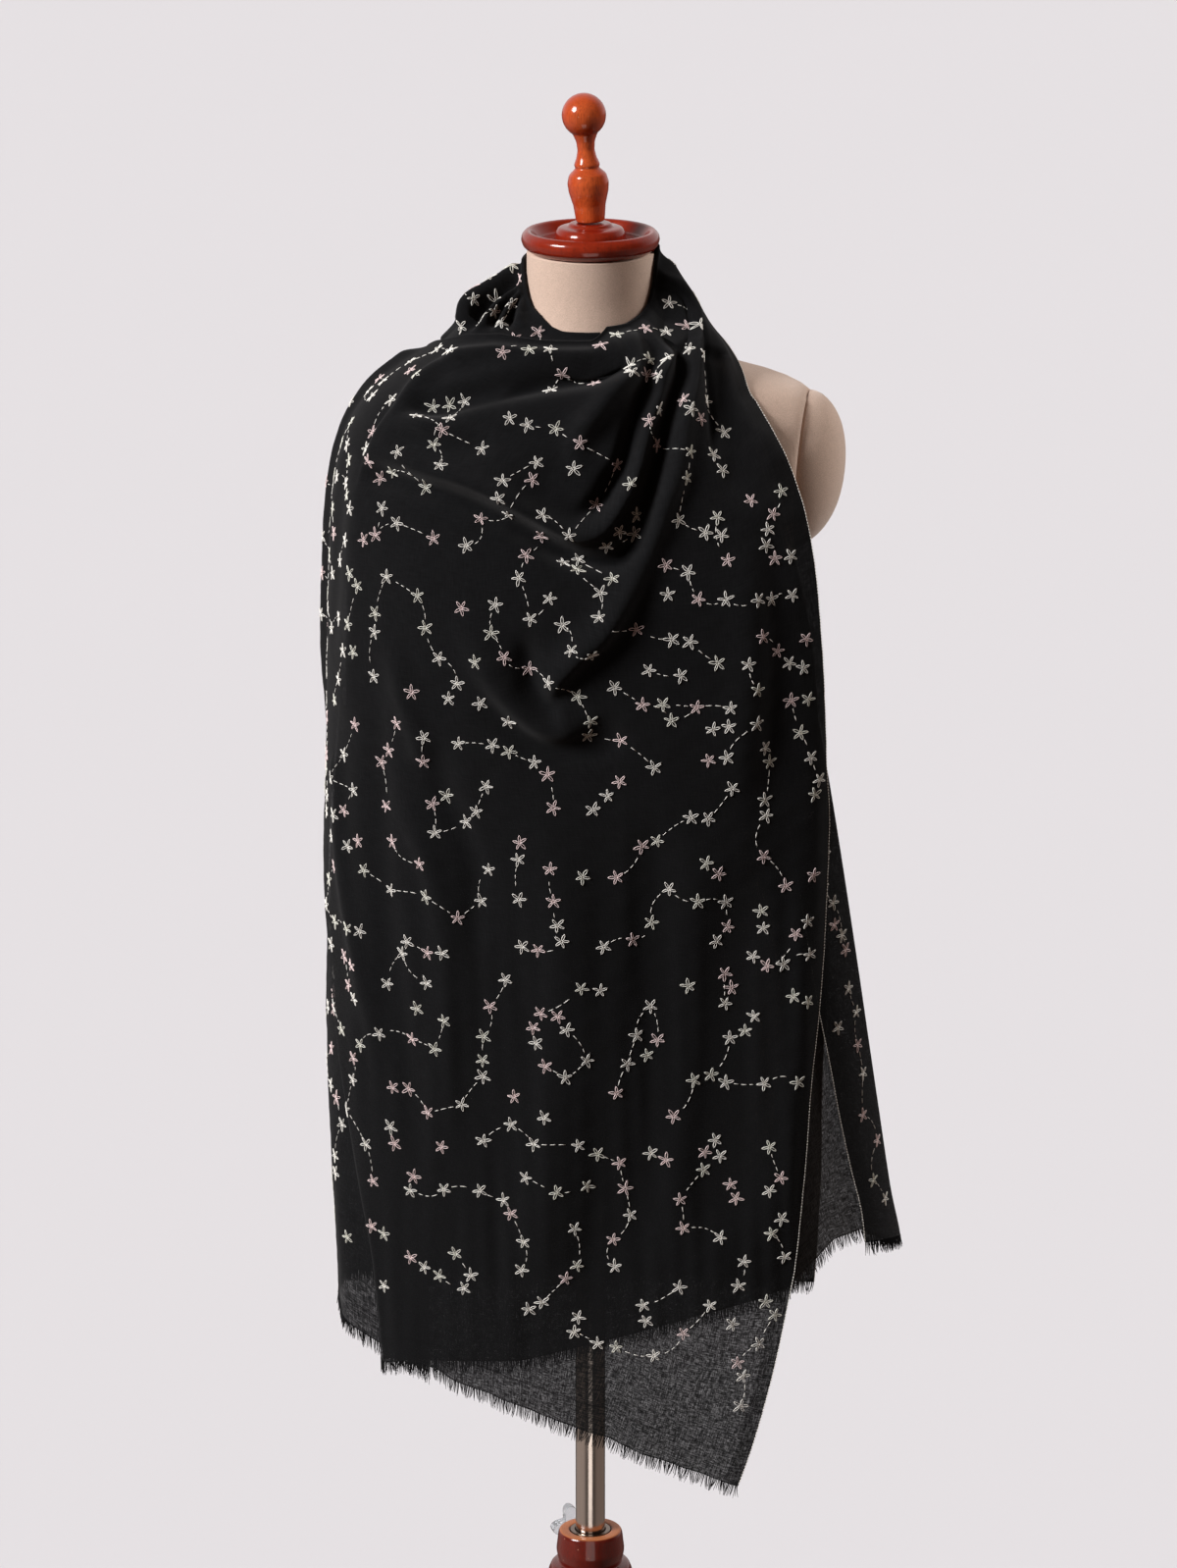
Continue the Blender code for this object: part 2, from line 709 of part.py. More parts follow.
def material(name, colour, roughness, metallic=0.0, alpha=1.0):
    """A plain Principled material."""
    made = bpy.data.materials.new(name)
    made.use_nodes = True
    shader = made.node_tree.nodes["Principled BSDF"]
    shader.inputs["Base Color"].default_value = (*colour, 1.0)
    shader.inputs["Roughness"].default_value = roughness
    shader.inputs["Metallic"].default_value = metallic
    shader.inputs["Alpha"].default_value = alpha
    return made


def add_object(name, points, faces, finish):
    """A named mesh object from points in millimetres, in the model's collection."""
    mesh = bpy.data.meshes.new(name)
    mesh.from_pydata([tuple(MM * c for c in p) for p in points], [], faces)
    mesh.validate()
    mesh.materials.append(finish)
    mesh.shade_smooth()
    made = bpy.data.objects.new(name, mesh)
    bpy.data.collections[MODEL].objects.link(made)
    return made


def cloth_grid(form, columns, rows):
    """Points of a cloth's middle surface, row by row from its upper edge."""
    return [[form(i / columns, j / rows) for i in range(columns + 1)] for j in range(rows + 1)]


def add_wall(name, grid, finish):
    """A wall of cloth: the open surface of a grid, made solid evenly to both sides."""
    width = len(grid[0])
    faces = [
        (j * width + i, (j + 1) * width + i, (j + 1) * width + i + 1, j * width + i + 1)
        for j in range(len(grid) - 1)
        for i in range(width - 1)
    ]
    wall = add_object(name, [p for row in grid for p in row], faces, finish)
    solid = wall.modifiers.new("wall", "SOLIDIFY")
    solid.thickness = CLOTH_WALL * MM
    solid.offset = 0
    solid.use_even_offset = True
    return wall


def add_fringe(name, grid, first, last, locks_per_cell, finish):
    """A fringe: a narrow band along a hem, a seam's gap below it, and a tapering lock for each stretch."""
    edge, above = grid[-1][first : last + 1], grid[-2][first : last + 1]
    stations = []
    for i in range(len(edge) - 1):
        for k in range(locks_per_cell):
            t = k / locks_per_cell
            stations.append((edge[i].lerp(edge[i + 1], t), above[i].lerp(above[i + 1], t)))
    stations.append((edge[-1], above[-1]))
    if first > 0:
        stations.pop(0)
    if last < len(grid[-1]) - 1:
        stations.pop()
    points, downs = [], []
    for i, (hem, over) in enumerate(stations):
        down = (hem - over).normalized()
        along = (stations[min(i + 1, len(stations) - 1)][0] - stations[max(i - 1, 0)][0]).normalized()
        across = down.cross(along).normalized() * CLOTH_WALL / 2
        down = along.cross(across).normalized()
        if down.z > 0:
            down = -down
        top = hem + down * SEAM_GAP
        foot = top + down * FRINGE_BAND
        points += [top + across, top - across, foot - across, foot + across]
        downs.append((foot, down))
    faces = [(0, 1, 2, 3)]
    last = 4 * (len(stations) - 1)
    faces.append((last + 3, last + 2, last + 1, last))
    for i in range(len(stations) - 1):
        a, b = 4 * i, 4 * (i + 1)
        faces += [(a, b, b + 1, a + 1), (a + 1, b + 1, b + 2, a + 2), (a + 3, b + 3, b, a)]
        tip = (downs[i][0] + downs[i + 1][0]) / 2 + downs[i][1] * FRINGE_LENGTH
        points.append(tip)
        t = len(points) - 1
        faces += [(a + 2, b + 2, t), (b + 2, b + 3, t), (b + 3, a + 3, t), (a + 3, a + 2, t)]
    return add_object(name, points, faces, finish)


def add_turned(name, profile, finish, steps=TURNED_STEPS):
    """A turned piece: a profile that runs down the outer side, swept about the upright axis."""
    points = [(radius, 0, z) for radius, z in profile]
    edges = [(i, i + 1) for i in range(len(points) - 1)]
    mesh = bpy.data.meshes.new(name)
    mesh.from_pydata([tuple(MM * c for c in p) for p in points], edges, [])
    mesh.materials.append(finish)
    made = bpy.data.objects.new(name, mesh)
    bpy.data.collections[MODEL].objects.link(made)
    screw = made.modifiers.new("turn", "SCREW")
    screw.axis = "Z"
    screw.steps = steps
    screw.render_steps = steps
    screw.use_merge_vertices = True
    screw.merge_threshold = 0.00001
    screw.use_smooth_shade = True
    return made


def add_lofted(name, rings, finish):
    """A closed solid from rings of equal length, the first and last of them closed by a face."""
    count = len(rings[0])
    points = [p for ring in rings for p in ring]
    faces = [tuple(range(count))[::-1]]
    for j in range(len(rings) - 1):
        for i in range(count):
            k = (i + 1) % count
            faces.append((j * count + i, j * count + k, (j + 1) * count + k, (j + 1) * count + i))
    faces.append(tuple(range((len(rings) - 1) * count, len(rings) * count)))
    return add_object(name, points, faces, finish)


def shoulder_plane(shoulder, y, z):
    """Distance from the middle of the plane that cuts a shoulder off."""
    return shoulder.cut + SHOULDER_LEAN * (z - SHOULDER_HEIGHT) + shoulder.yaw * y


def add_form(finish, columns=TURNED_STEPS):
    """The limbless form: rings from its foot to its neck, cut flat at the shoulders."""
    left, right = SHOULDERS
    rings = []
    for row in reversed(FORM):
        ring = [section_point(FORM, 360 * i / columns, row.z) for i in range(columns)]
        for p in ring:
            p.x = min(shoulder_plane(right, p.y, p.z), max(-shoulder_plane(left, p.y, p.z), p.x))
        rings.append(ring)
    return add_lofted("form", rings, finish)


def add_arm_cap(shoulder, finish, columns=SMALL_STEPS):
    """The domed end that closes a shoulder, a resting gap off its cut."""
    rings = []
    for share in ARM_CAP_RINGS:
        rise = shoulder.dome * (1 - share**ARM_CAP_POWER) ** 0.5
        ring = []
        for i in range(columns):
            angle = 2 * math.pi * i / columns
            y = ARM_CAP_MIDDLE_Y + ARM_CAP_HALF_DEPTH * share * math.cos(angle) * shoulder.side
            z = SHOULDER_HEIGHT + ARM_CAP_HALF_HEIGHT * share * math.sin(angle)
            x = shoulder.side * (shoulder_plane(shoulder, y, z) + REST_GAP + rise)
            ring.append(Vector((x, y, z)))
        rings.append(ring)
    return add_lofted(shoulder.name, rings, finish)


def add_finial(finish):
    """The finial, which leans a little on the cap."""
    ball = [
        (BALL_RADIUS * math.cos(math.radians(a)), BALL_CENTRE + BALL_RADIUS * math.sin(math.radians(a)))
        for a in BALL_ARC
    ]
    ball[0] = (0, ball[0][1])
    profile = [(r, z - FINIAL_BOTTOM) for r, z in ball + FINIAL_PROFILE]
    finial = add_turned("finial", profile, finish, SMALL_STEPS)
    finial.location = (0, 0, FINIAL_BOTTOM * MM)
    finial.rotation_euler = (0, -math.radians(FINIAL_LEAN), 0)
    return finial


def clamp_frame():
    """Point on the pole's axis at the clamp's height, and the screw's direction outward."""
    angle = math.radians(CLAMP_TURN)
    return Vector((0, 0, CLAMP_HEIGHT)), Vector((math.sin(angle), -math.cos(angle), 0))


def add_rod(name, start, end, radius, finish, collection=None):
    """A round rod along the clamp's direction, between two distances from the pole's axis."""
    origin, direction = clamp_frame()
    middle = (origin + direction * (start + end) / 2) * MM
    bpy.ops.mesh.primitive_cylinder_add(
        vertices=SMALL_STEPS,
        radius=radius * MM,
        depth=(end - start) * MM,
        location=middle,
    )
    rod = bpy.context.object
    rod.name = rod.data.name = name
    rod.rotation_mode = "QUATERNION"
    rod.rotation_quaternion = direction.to_track_quat("Z", "Y")
    for held in rod.users_collection:
        held.objects.unlink(rod)
    bpy.data.collections[collection or MODEL].objects.link(rod)
    if finish:
        rod.data.materials.append(finish)
        rod.data.shade_smooth()
    return rod


def add_knob(finish):
    """The star knob: a flat outline of rounded arms with a hole for the screw, given its thickness."""
    origin, direction = clamp_frame()
    curve = bpy.data.curves.new("clamp_knob", "CURVE")
    curve.dimensions = "2D"
    curve.fill_mode = "BOTH"
    curve.extrude = KNOB_THICKNESS / 2 * MM
    count = KNOB_ARMS * KNOB_STEPS
    outline = []
    for i in range(count):
        angle = 2 * math.pi * i / count
        lobe = (0.5 + 0.5 * math.cos(KNOB_ARMS * angle)) ** 0.8
        outline.append((KNOB_WAIST + (KNOB_RADIUS - KNOB_WAIST) * lobe, angle))
    hole = [(SCREW_RADIUS + REST_GAP, 2 * math.pi * i / SMALL_STEPS) for i in range(SMALL_STEPS)]
    for ring in (outline, hole):
        spline = curve.splines.new("POLY")
        spline.points.add(len(ring) - 1)
        for point, (radius, angle) in zip(spline.points, ring):
            point.co = (radius * math.cos(angle) * MM, radius * math.sin(angle) * MM, 0, 1)
        spline.use_cyclic_u = True
    curve.materials.append(finish)
    knob = bpy.data.objects.new("clamp_knob", curve)
    knob.location = (origin + direction * (KNOB_START + KNOB_THICKNESS / 2)) * MM
    knob.rotation_mode = "QUATERNION"
    knob.rotation_quaternion = direction.to_track_quat("Z", "Y")
    weld = knob.modifiers.new("caps", "WELD")
    weld.merge_threshold = 0.00001
    bpy.data.collections[MODEL].objects.link(knob)
    return knob


def cut(piece, cutter):
    """Cuts a hole through a piece."""
    hole = piece.modifiers.new("hole", "BOOLEAN")
    hole.operation = "DIFFERENCE"
    hole.solver = "EXACT"
    hole.object = cutter


def add_sleeve(finish):
    """The metal sleeve that lines the cup's bore."""
    profile = [
        (SLEEVE_INNER, SLEEVE_BOTTOM),
        (SLEEVE_INNER, COLLAR_TOP),
        (SLEEVE_OUTER, COLLAR_TOP),
        (SLEEVE_OUTER, SLEEVE_BOTTOM),
        (SLEEVE_INNER, SLEEVE_BOTTOM),
    ]
    return add_turned("sleeve", profile, finish, SMALL_STEPS)


# ---------------------------------------------------------------- the model

MODEL = "pashmina_shawl"
CUTTERS = "cutters"
Stretch = namedtuple("Stretch", "name form columns rows")
STRETCHES = [
    Stretch("front_fall", front_outer_point, 34, 33),
    Stretch("inner_fall", inner_point, INNER_COLUMNS, 15),
    Stretch("shoulder_fall", shoulder_point, 28, 20),
    Stretch("neck_loop", loop_point, 30, 6),
]
Fringe = namedtuple("Fringe", "name stretch first last locks")  # first and last grid column, locks to a column
FRINGES = [
    Fringe("front_fringe", "front_fall", 0, 34, 2),
    Fringe("inner_fringe", "inner_fall", 0, INNER_COLUMNS - FLAP_COLUMNS - 1, 3),
    Fringe("flap_fringe", "inner_fall", INNER_COLUMNS - FLAP_COLUMNS + 1, INNER_COLUMNS, 3),
    Fringe("shoulder_fringe", "shoulder_fall", 0, 28, 2),
]


def build():
    """Builds the shawl, the form and the stand."""
    for old in list(bpy.data.objects):
        bpy.data.objects.remove(old)
    for name in (MODEL, CUTTERS):
        bpy.context.scene.collection.children.link(bpy.data.collections.new(name))

    wool = material("black pashmina wool", (0.012, 0.012, 0.014), 0.9)
    velvet = material("beige velvet", (0.50, 0.36, 0.27), 0.85)
    mahogany = material("mahogany", (0.22, 0.03, 0.012), 0.25)
    steel = material("chromed steel", (0.55, 0.52, 0.50), 0.25, metallic=1.0)
    clear = material("clear plastic", (0.85, 0.86, 0.88), 0.1, alpha=0.4)

    add_turned("base", BASE_PROFILE, mahogany)
    column = add_turned("column", COLUMN_PROFILE, mahogany, SMALL_STEPS)
    sleeve = add_sleeve(steel)
    add_turned("pole", POLE_PROFILE, steel, SMALL_STEPS)
    add_rod("clamp_screw", SCREW_TIP, KNOB_START + KNOB_THICKNESS, SCREW_RADIUS, steel)
    add_knob(clear)
    cutter = add_rod("screw_hole", 0, KNOB_START, SCREW_RADIUS + REST_GAP, None, CUTTERS)
    cutter.hide_render = True
    cutter.display_type = "WIRE"
    cut(column, cutter)
    cut(sleeve, cutter)

    add_form(velvet)
    for shoulder in SHOULDERS:
        add_arm_cap(shoulder, velvet)
    add_turned("neck_cap", CAP_PROFILE, mahogany, SMALL_STEPS)
    add_finial(mahogany)

    grids = {}
    for stretch in STRETCHES:
        grids[stretch.name] = cloth_grid(stretch.form, stretch.columns, stretch.rows)
        add_wall(stretch.name, grids[stretch.name], wool)
    for fringe in FRINGES:
        add_fringe(fringe.name, grids[fringe.stretch], fringe.first, fringe.last, fringe.locks, wool)


build()
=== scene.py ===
"""A black pashmina shawl with embroidered stars, worn by a limbless dress form on a turned wooden stand.

Sizes are millimetres and degrees, the same as the solids', and each mesh is made in metres with the
floor at z = 0. Left and right are those of someone who faces the front, which looks along -Y. A turn
is 0 at the front, 90 at the right, -90 at the left and -180 at the back.
"""

import logging
import math
from dataclasses import dataclass, field
from enum import Enum
from functools import partial
from typing import Callable, NamedTuple, Sequence

import bpy
import numpy as np
from bpy.types import ID, Material, Mesh, Node, NodeSocket, NodeTree, Object
from mathutils import Matrix, Vector
from numpy.linalg import norm


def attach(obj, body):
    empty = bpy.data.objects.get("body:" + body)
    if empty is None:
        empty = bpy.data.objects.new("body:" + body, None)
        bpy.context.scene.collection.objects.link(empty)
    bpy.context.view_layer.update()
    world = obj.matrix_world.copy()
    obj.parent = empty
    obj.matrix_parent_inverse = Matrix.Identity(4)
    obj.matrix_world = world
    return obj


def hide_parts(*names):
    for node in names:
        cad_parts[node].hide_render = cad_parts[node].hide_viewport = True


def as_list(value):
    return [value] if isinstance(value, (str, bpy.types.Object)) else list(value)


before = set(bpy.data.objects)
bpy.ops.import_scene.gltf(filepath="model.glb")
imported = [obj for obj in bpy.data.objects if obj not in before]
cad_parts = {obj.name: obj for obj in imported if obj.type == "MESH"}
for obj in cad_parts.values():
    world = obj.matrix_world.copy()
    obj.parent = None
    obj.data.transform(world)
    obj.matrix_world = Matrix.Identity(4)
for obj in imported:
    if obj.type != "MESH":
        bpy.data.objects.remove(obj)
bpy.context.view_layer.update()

MM = 0.001
LOG = logging.getLogger("shawl")
Array = np.ndarray
Adder = Callable[..., Node]


# ---- colours, nodes and meshes


def linear(hex_colour: str) -> tuple[float, float, float, float]:
    """Turns an sRGB colour into the linear one that shaders take."""
    parts = [int(hex_colour[i : i + 2], 16) / 255 for i in (0, 2, 4)]
    return (*(p / 12.92 if p <= 0.04045 else ((p + 0.055) / 1.055) ** 2.4 for p in parts), 1.0)


def toned(colour: Sequence[float], *factors: float) -> tuple[float, ...]:
    """Makes a linear colour lighter or darker, by one factor or by one for each channel."""
    return tuple(min(1.0, c * f) for c, f in zip(colour[:3], factors * (3 // len(factors)))) + (1.0,)


USUAL = {"Mix": {"data_type": "RGBA"}}  # settings of a kind of node that is given none


def add_node(tree: NodeTree, kind: str, inputs: dict, **settings: object) -> Node:
    """Adds a node with its settings and links.

    Args:
        tree: the material's or world's node tree.
        kind: the node's type name without "ShaderNode".
        inputs: for each input, by name or number, a value or the socket or node to link.
        settings: the node's own properties.

    Returns:
        The new node.
    """
    node = tree.nodes.new("ShaderNode" + kind)
    for name, value in (settings or USUAL.get(kind, {})).items():
        setattr(node, name, value)
    for name, value in inputs.items():
        if isinstance(value, Node):
            value = next(socket for socket in value.outputs if socket.enabled)
        if isinstance(value, NodeSocket):
            tree.links.new(value, node.inputs[name])
        else:
            node.inputs[name].default_value = value
    return node


def mesh_object(name: str, points: Array, faces: Sequence, finish: Material) -> Object:
    """Makes a smooth mesh object in the scene, and reports it.

    Args:
        name: the piece's name.
        points: corners in millimetres, one row each.
        faces: corner numbers of each face.
        finish: its material.

    Returns:
        The new object.
    """
    mesh = bpy.data.meshes.new(name)
    mesh.from_pydata((np.asarray(points, float) * MM).tolist(), [], [tuple(f) for f in faces])
    mesh.materials.append(finish)
    mesh.shade_smooth()
    made = bpy.data.objects.new(name, mesh)
    bpy.context.scene.collection.objects.link(made)
    LOG.info("%s: %d faces", name, len(mesh.polygons))
    return made


def spread_out(mesh: Mesh, places: Array) -> None:
    """Gives a mesh the cloth's own coordinates as its UV map.

    Args:
        mesh: the mesh.
        places: coordinates of each of its points, in metres.
    """
    uv = mesh.uv_layers.new(name="cloth")
    corner = np.empty(len(mesh.loops), int)
    mesh.loops.foreach_get("vertex_index", corner)
    uv.data.foreach_set("uv", places[corner].ravel())


def grid_faces(rows: int, columns: int, first: int = 0, closed: bool = False) -> list[tuple[int, ...]]:
    """Lists the faces of a grid of points, row by row.

    Args:
        rows: number of rows of points.
        columns: number of points in a row.
        first: number of the grid's first point.
        closed: whether each row's ends meet.

    Returns:
        Four corner numbers for each face.
    """
    across = columns if closed else columns - 1
    row, here = np.meshgrid(first + np.arange(rows - 1) * columns, np.arange(across), indexing="ij")
    after = (here + 1) % columns
    corners = [row + here, row + columns + here, row + columns + after, row + after]
    return np.stack(corners, axis=-1).reshape(-1, 4).tolist()


def ease(t: Array | float) -> Array | float:
    """Gives 0 below 0, 1 above 1, and a smooth step between."""
    t = np.clip(t, 0.0, 1.0)
    return t * t * (3 - 2 * t)


def unit(vectors: Array) -> Array:
    """Scales vectors to a length of one."""
    return vectors / np.maximum(norm(vectors, axis=-1, keepdims=True), 1e-9)


def lengths_along(line: Array) -> Array:
    """Measures how far along a line of points each of them lies."""
    return np.concatenate([[0], np.cumsum(norm(np.diff(line, axis=0), axis=1))])


def read_along(line: Array, lengths: Array, at: Array) -> Array:
    """Reads the points that lie at given lengths along a line."""
    return np.stack([np.interp(at, lengths, line[:, k]) for k in range(3)], axis=-1)


def curve_through(points: Sequence[tuple[float, float]], steps: int = 6) -> Array:
    """Draws a smooth curve through plane points.

    Args:
        points: the points it passes.
        steps: how many stretches to make between two of them.

    Returns:
        Points along the curve, one row each.
    """
    ends = np.array([points[0], *points, points[-1]], float)
    out = []
    for p0, p1, p2, p3 in zip(ends, ends[1:], ends[2:], ends[3:]):
        for i in range(steps):
            t = i / steps
            before, here = -0.5 * t + t * t - 0.5 * t**3, 1 - 2.5 * t * t + 1.5 * t**3
            after, beyond = 0.5 * t + 2 * t * t - 1.5 * t**3, -0.5 * t * t + 0.5 * t**3
            out.append(before * p0 + here * p1 + after * p2 + beyond * p3)
    return np.array([*out, ends[-1]])


# ---- tables of the form and the cloth


class Girth(NamedTuple):
    """A cross-section: its height, half widths, depths and the power of its superellipse."""

    z: float
    left: float
    right: float
    front: float
    back: float
    power: float


class Level(NamedTuple):
    """The turn of an upright edge at a height."""

    z: float
    turn: float


class Across(NamedTuple):
    """The distance from the middle of an edge that faces the front, at a height."""

    z: float
    x: float


class Rim(NamedTuple):
    """The height of a rim at a turn, and how far it is drawn in against the neck."""

    turn: float
    z: float
    hug: float


class Brink(NamedTuple):
    """The height of an edge at a turn."""

    turn: float
    z: float


class Band(NamedTuple):
    """A stretch over which something comes in: where that starts, and how far on it is complete."""

    start: float
    run: float

    def at(self, place: Array) -> Array:
        """Gives how much has come in at each place, from 0 to 1."""
        return ease((place - self.start) / self.run)


def rows(kind: type, *numbers: tuple) -> tuple:
    """Makes a table whose rows are all of one kind."""
    return tuple(kind(*row) for row in numbers)


DRAPE = rows(
    Girth,
    (1490, 53, 56, 56, 57, 2), (1476, 60, 65, 59, 60, 2), (1456, 90, 78, 65, 68, 2.05),
    (1438, 112, 89, 73, 75, 2.1), (1421, 115, 99, 84, 82, 2.15), (1405, 128, 113, 98, 89, 2.2),
    (1385, 158, 134, 110, 96, 2.25), (1358, 187, 164, 122, 104, 2.3), (1327, 203, 195, 134, 109, 2.4),
    (1278, 213, 222, 147, 114, 2.5), (1220, 216, 234, 156, 118, 2.55), (1150, 218, 238, 159, 120, 2.55),
    (1060, 220, 240, 158, 122, 2.5), (950, 224, 243, 155, 124, 2.5), (850, 225, 250, 151, 125, 2.5),
    (750, 223, 258, 147, 126, 2.5), (640, 219, 272, 142, 126, 2.5), (560, 216, 278, 139, 125, 2.5),
    (430, 212, 282, 134, 123, 2.5),
)
FORM = rows(
    Girth,
    (1480.7, 52, 52, 52, 52, 2), (1452, 52, 52, 52, 52, 2), (1426, 53, 53, 54, 55, 2),
    (1410, 62, 63, 60, 62, 2), (1398, 82, 88, 66, 69, 2.1), (1388, 104, 114, 71, 75, 2.2),
    (1379, 134, 150, 76, 80, 2.3), (1368, 160, 176, 82, 85, 2.4), (1345, 182, 196, 91, 90, 2.5),
    (1302, 188, 200, 105, 93, 2.6), (1262, 178, 188, 115, 94, 2.6), (1236, 163, 171, 120, 95, 2.5),
    (1210, 156, 159, 122, 95, 2.4), (1178, 146, 147, 118, 93, 2.3), (1130, 131, 131, 103, 88, 2.2),
    (1050, 118, 118, 90, 80, 2.2), (980, 134, 134, 93, 90, 2.2), (900, 155, 155, 98, 101, 2.3),
    (840, 161, 161, 100, 105, 2.3), (770, 158, 158, 99, 104, 2.3), (712, 151, 151, 95, 99, 2.3),
    (698, 144, 144, 90, 94, 2.3), (693, 132, 132, 80, 84, 2.3),
)
FRONT_FOLD = rows(
    Level,
    (1490, -122), (1390, -120), (1250, -116), (1100, -104), (1000, -92), (900, -79), (800, -69), (700, -60),
    (640, -55), (560, -53), (430, -52),
)
SHOULDER_FRONT_EDGE = rows(
    Level,
    (1440, -24), (1400, -26), (1300, -30), (1100, -33), (800, -36), (530, -38),
)
SHOULDER_BACK_EDGE = rows(
    Level,
    (1440, -181), (1410, -186), (1340, -203), (1240, -219), (1100, -228), (900, -230), (700, -225),
    (530, -220),
)
FRONT_SELVEDGE = rows(
    Across,
    (1370, 134), (1348, 147), (1318, 163), (1285, 174), (1232, 183), (1150, 188), (1084, 190), (1029, 194),
    (945, 192), (875, 188), (797, 181), (739, 178), (645, 170), (628, 167), (565, 155), (497, 138),
    (440, 119),
)
INNER_FOLD = rows(
    Across,
    (1350, 128), (1250, 158), (1150, 178), (1065, 194), (1000, 205), (930, 216), (845, 229), (760, 242),
    (690, 253), (640, 263), (600, 267),
)
INNER_SELVEDGE = rows(
    Across,
    (1350, 100), (1150, 140), (1004, 166), (870, 188), (820, 198), (766, 208), (720, 218), (682, 227),
    (650, 231),
)
FRONT_RIM = rows(
    Rim,
    (-122, 1388, 0), (-90, 1407, 0), (-60, 1421, 0), (-40, 1425, 0), (-20, 1422, 0.1),
    (0, 1421, 0.4), (12, 1429, 0.9), (32, 1430, 1), (48, 1436, 1), (59, 1443, 1), (68, 1456, 1),
    (75, 1472, 1), (90, 1486, 1),
)
LOOP_RIM = rows(
    Brink,
    (-315, 1433), (-300, 1440), (-285, 1470), (-270, 1486), (-230, 1483), (-180, 1479), (-130, 1477),
    (-95, 1474), (-80, 1462), (-67, 1447), (-59, 1440), (-48, 1435), (-35, 1427), (-24, 1424), (8, 1424),
)
LOOP_FOOT = rows(
    Brink,
    (-315, 1405), (-270, 1397), (-250, 1388), (-225, 1384), (-202, 1388), (-188, 1412), (-180, 1420),
    (-130, 1420), (-90, 1417), (-60, 1408), (-25, 1396), (8, 1394),
)
SHOULDER_HEM = rows(
    Brink,
    (-220, 552), (-200, 548), (-180, 545), (-150, 552), (-125, 566), (-100, 588), (-80, 582), (-60, 562),
    (-38, 545),
)
FRONT_HEM = rows(
    Across,
    (553, -175), (559, -156), (557, -131), (546, -111), (538, -84), (528, -59), (509, -13), (501, 13),
    (485, 45), (469, 85), (454, 122),
)
INNER_HEM = rows(
    Across,
    (551, -175), (557, -156), (561, -111), (565, -59), (577, -15), (593, 45), (604, 84), (617, 138),
    (625, 164), (643, 184), (662, 204), (665, 227), (640, 263),
)
INNER_RIM = ((0, 1110), (0.67, 1120), (0.8, 1180), (0.9, 1290), (1, 1335))  # share across, height
OUTER_EDGE_INSET = 4.3  # at the lengthwise fold, where the front fall's two layers meet
INNER_EDGE_INSET = 6.15
OPEN_LAYER = 1.5
FLAP_LAYER = 5.0
INNER_LAYER = 10.0
SHOULDER_LAYER = 16.0
SHOULDER_LAYER_ON_CAP = 7.5
FOLD_SHARE = 0.04
FLAP_HEM_AT_SELVEDGE = 655.0
GATHER_TURN = 90.0
GATHER_RISE = 45.0
SHOULDER_TOP = 1416.0
NECK_HUG_RADIUS = 56.5
HUG_DEPTH = 18.0
COVER_BAND = 22.0
HEM_STEPS = 12
COVER_FADE = 12.0  # over which cloth comes out from under the front fall
CLOTH_GAP = 2.5  # least distance between a layer and what is behind it
SMOOTHED_GAP = 3.0  # the same, measured from the smooth drape
LEAST_ROOM = 1.5  # how far any cloth can sink
ON_CAP_HEIGHT, ON_CAP_TURN = Band(1180, 100), Band(-40, -35)
# the front fall is bunched at its top right, hangs in loose waves and ripples at its hem
BUNCHED, BUNCHED_SHARE = Band(1335, 45), Band(0.9, 0.09)
FRONT_HANGS, FRONT_HEM_RIPPLES = Band(1150, -350), Band(620, -150)
# round the back the stretch beside the neck comes forward to the gather and is tucked under it
TOWARDS_GATHER, PRESSED_BEHIND = Band(-200, -60), Band(-222, -36)
TUCK, DEEPER_TUCK, FOOT_TUCK, LOWER_HALF = Band(-262, -10), Band(-272, -15), Band(-232, -22), Band(0.5, 0.5)
# the shoulder fall hangs free past the shoulder, and its waves grow downwards
HANGS_FREE, WAVES_GROW = Band(-95, -30), Band(1330, -330)


class Crease(NamedTuple):
    """A crease of the cloth: points of its crest by turn and height, and its size.

    A negative height is a valley. drop is how far its crest hangs down over what is below it.
    """

    name: str
    crest: tuple
    half_width: float
    height: float
    drop: float = 0.0


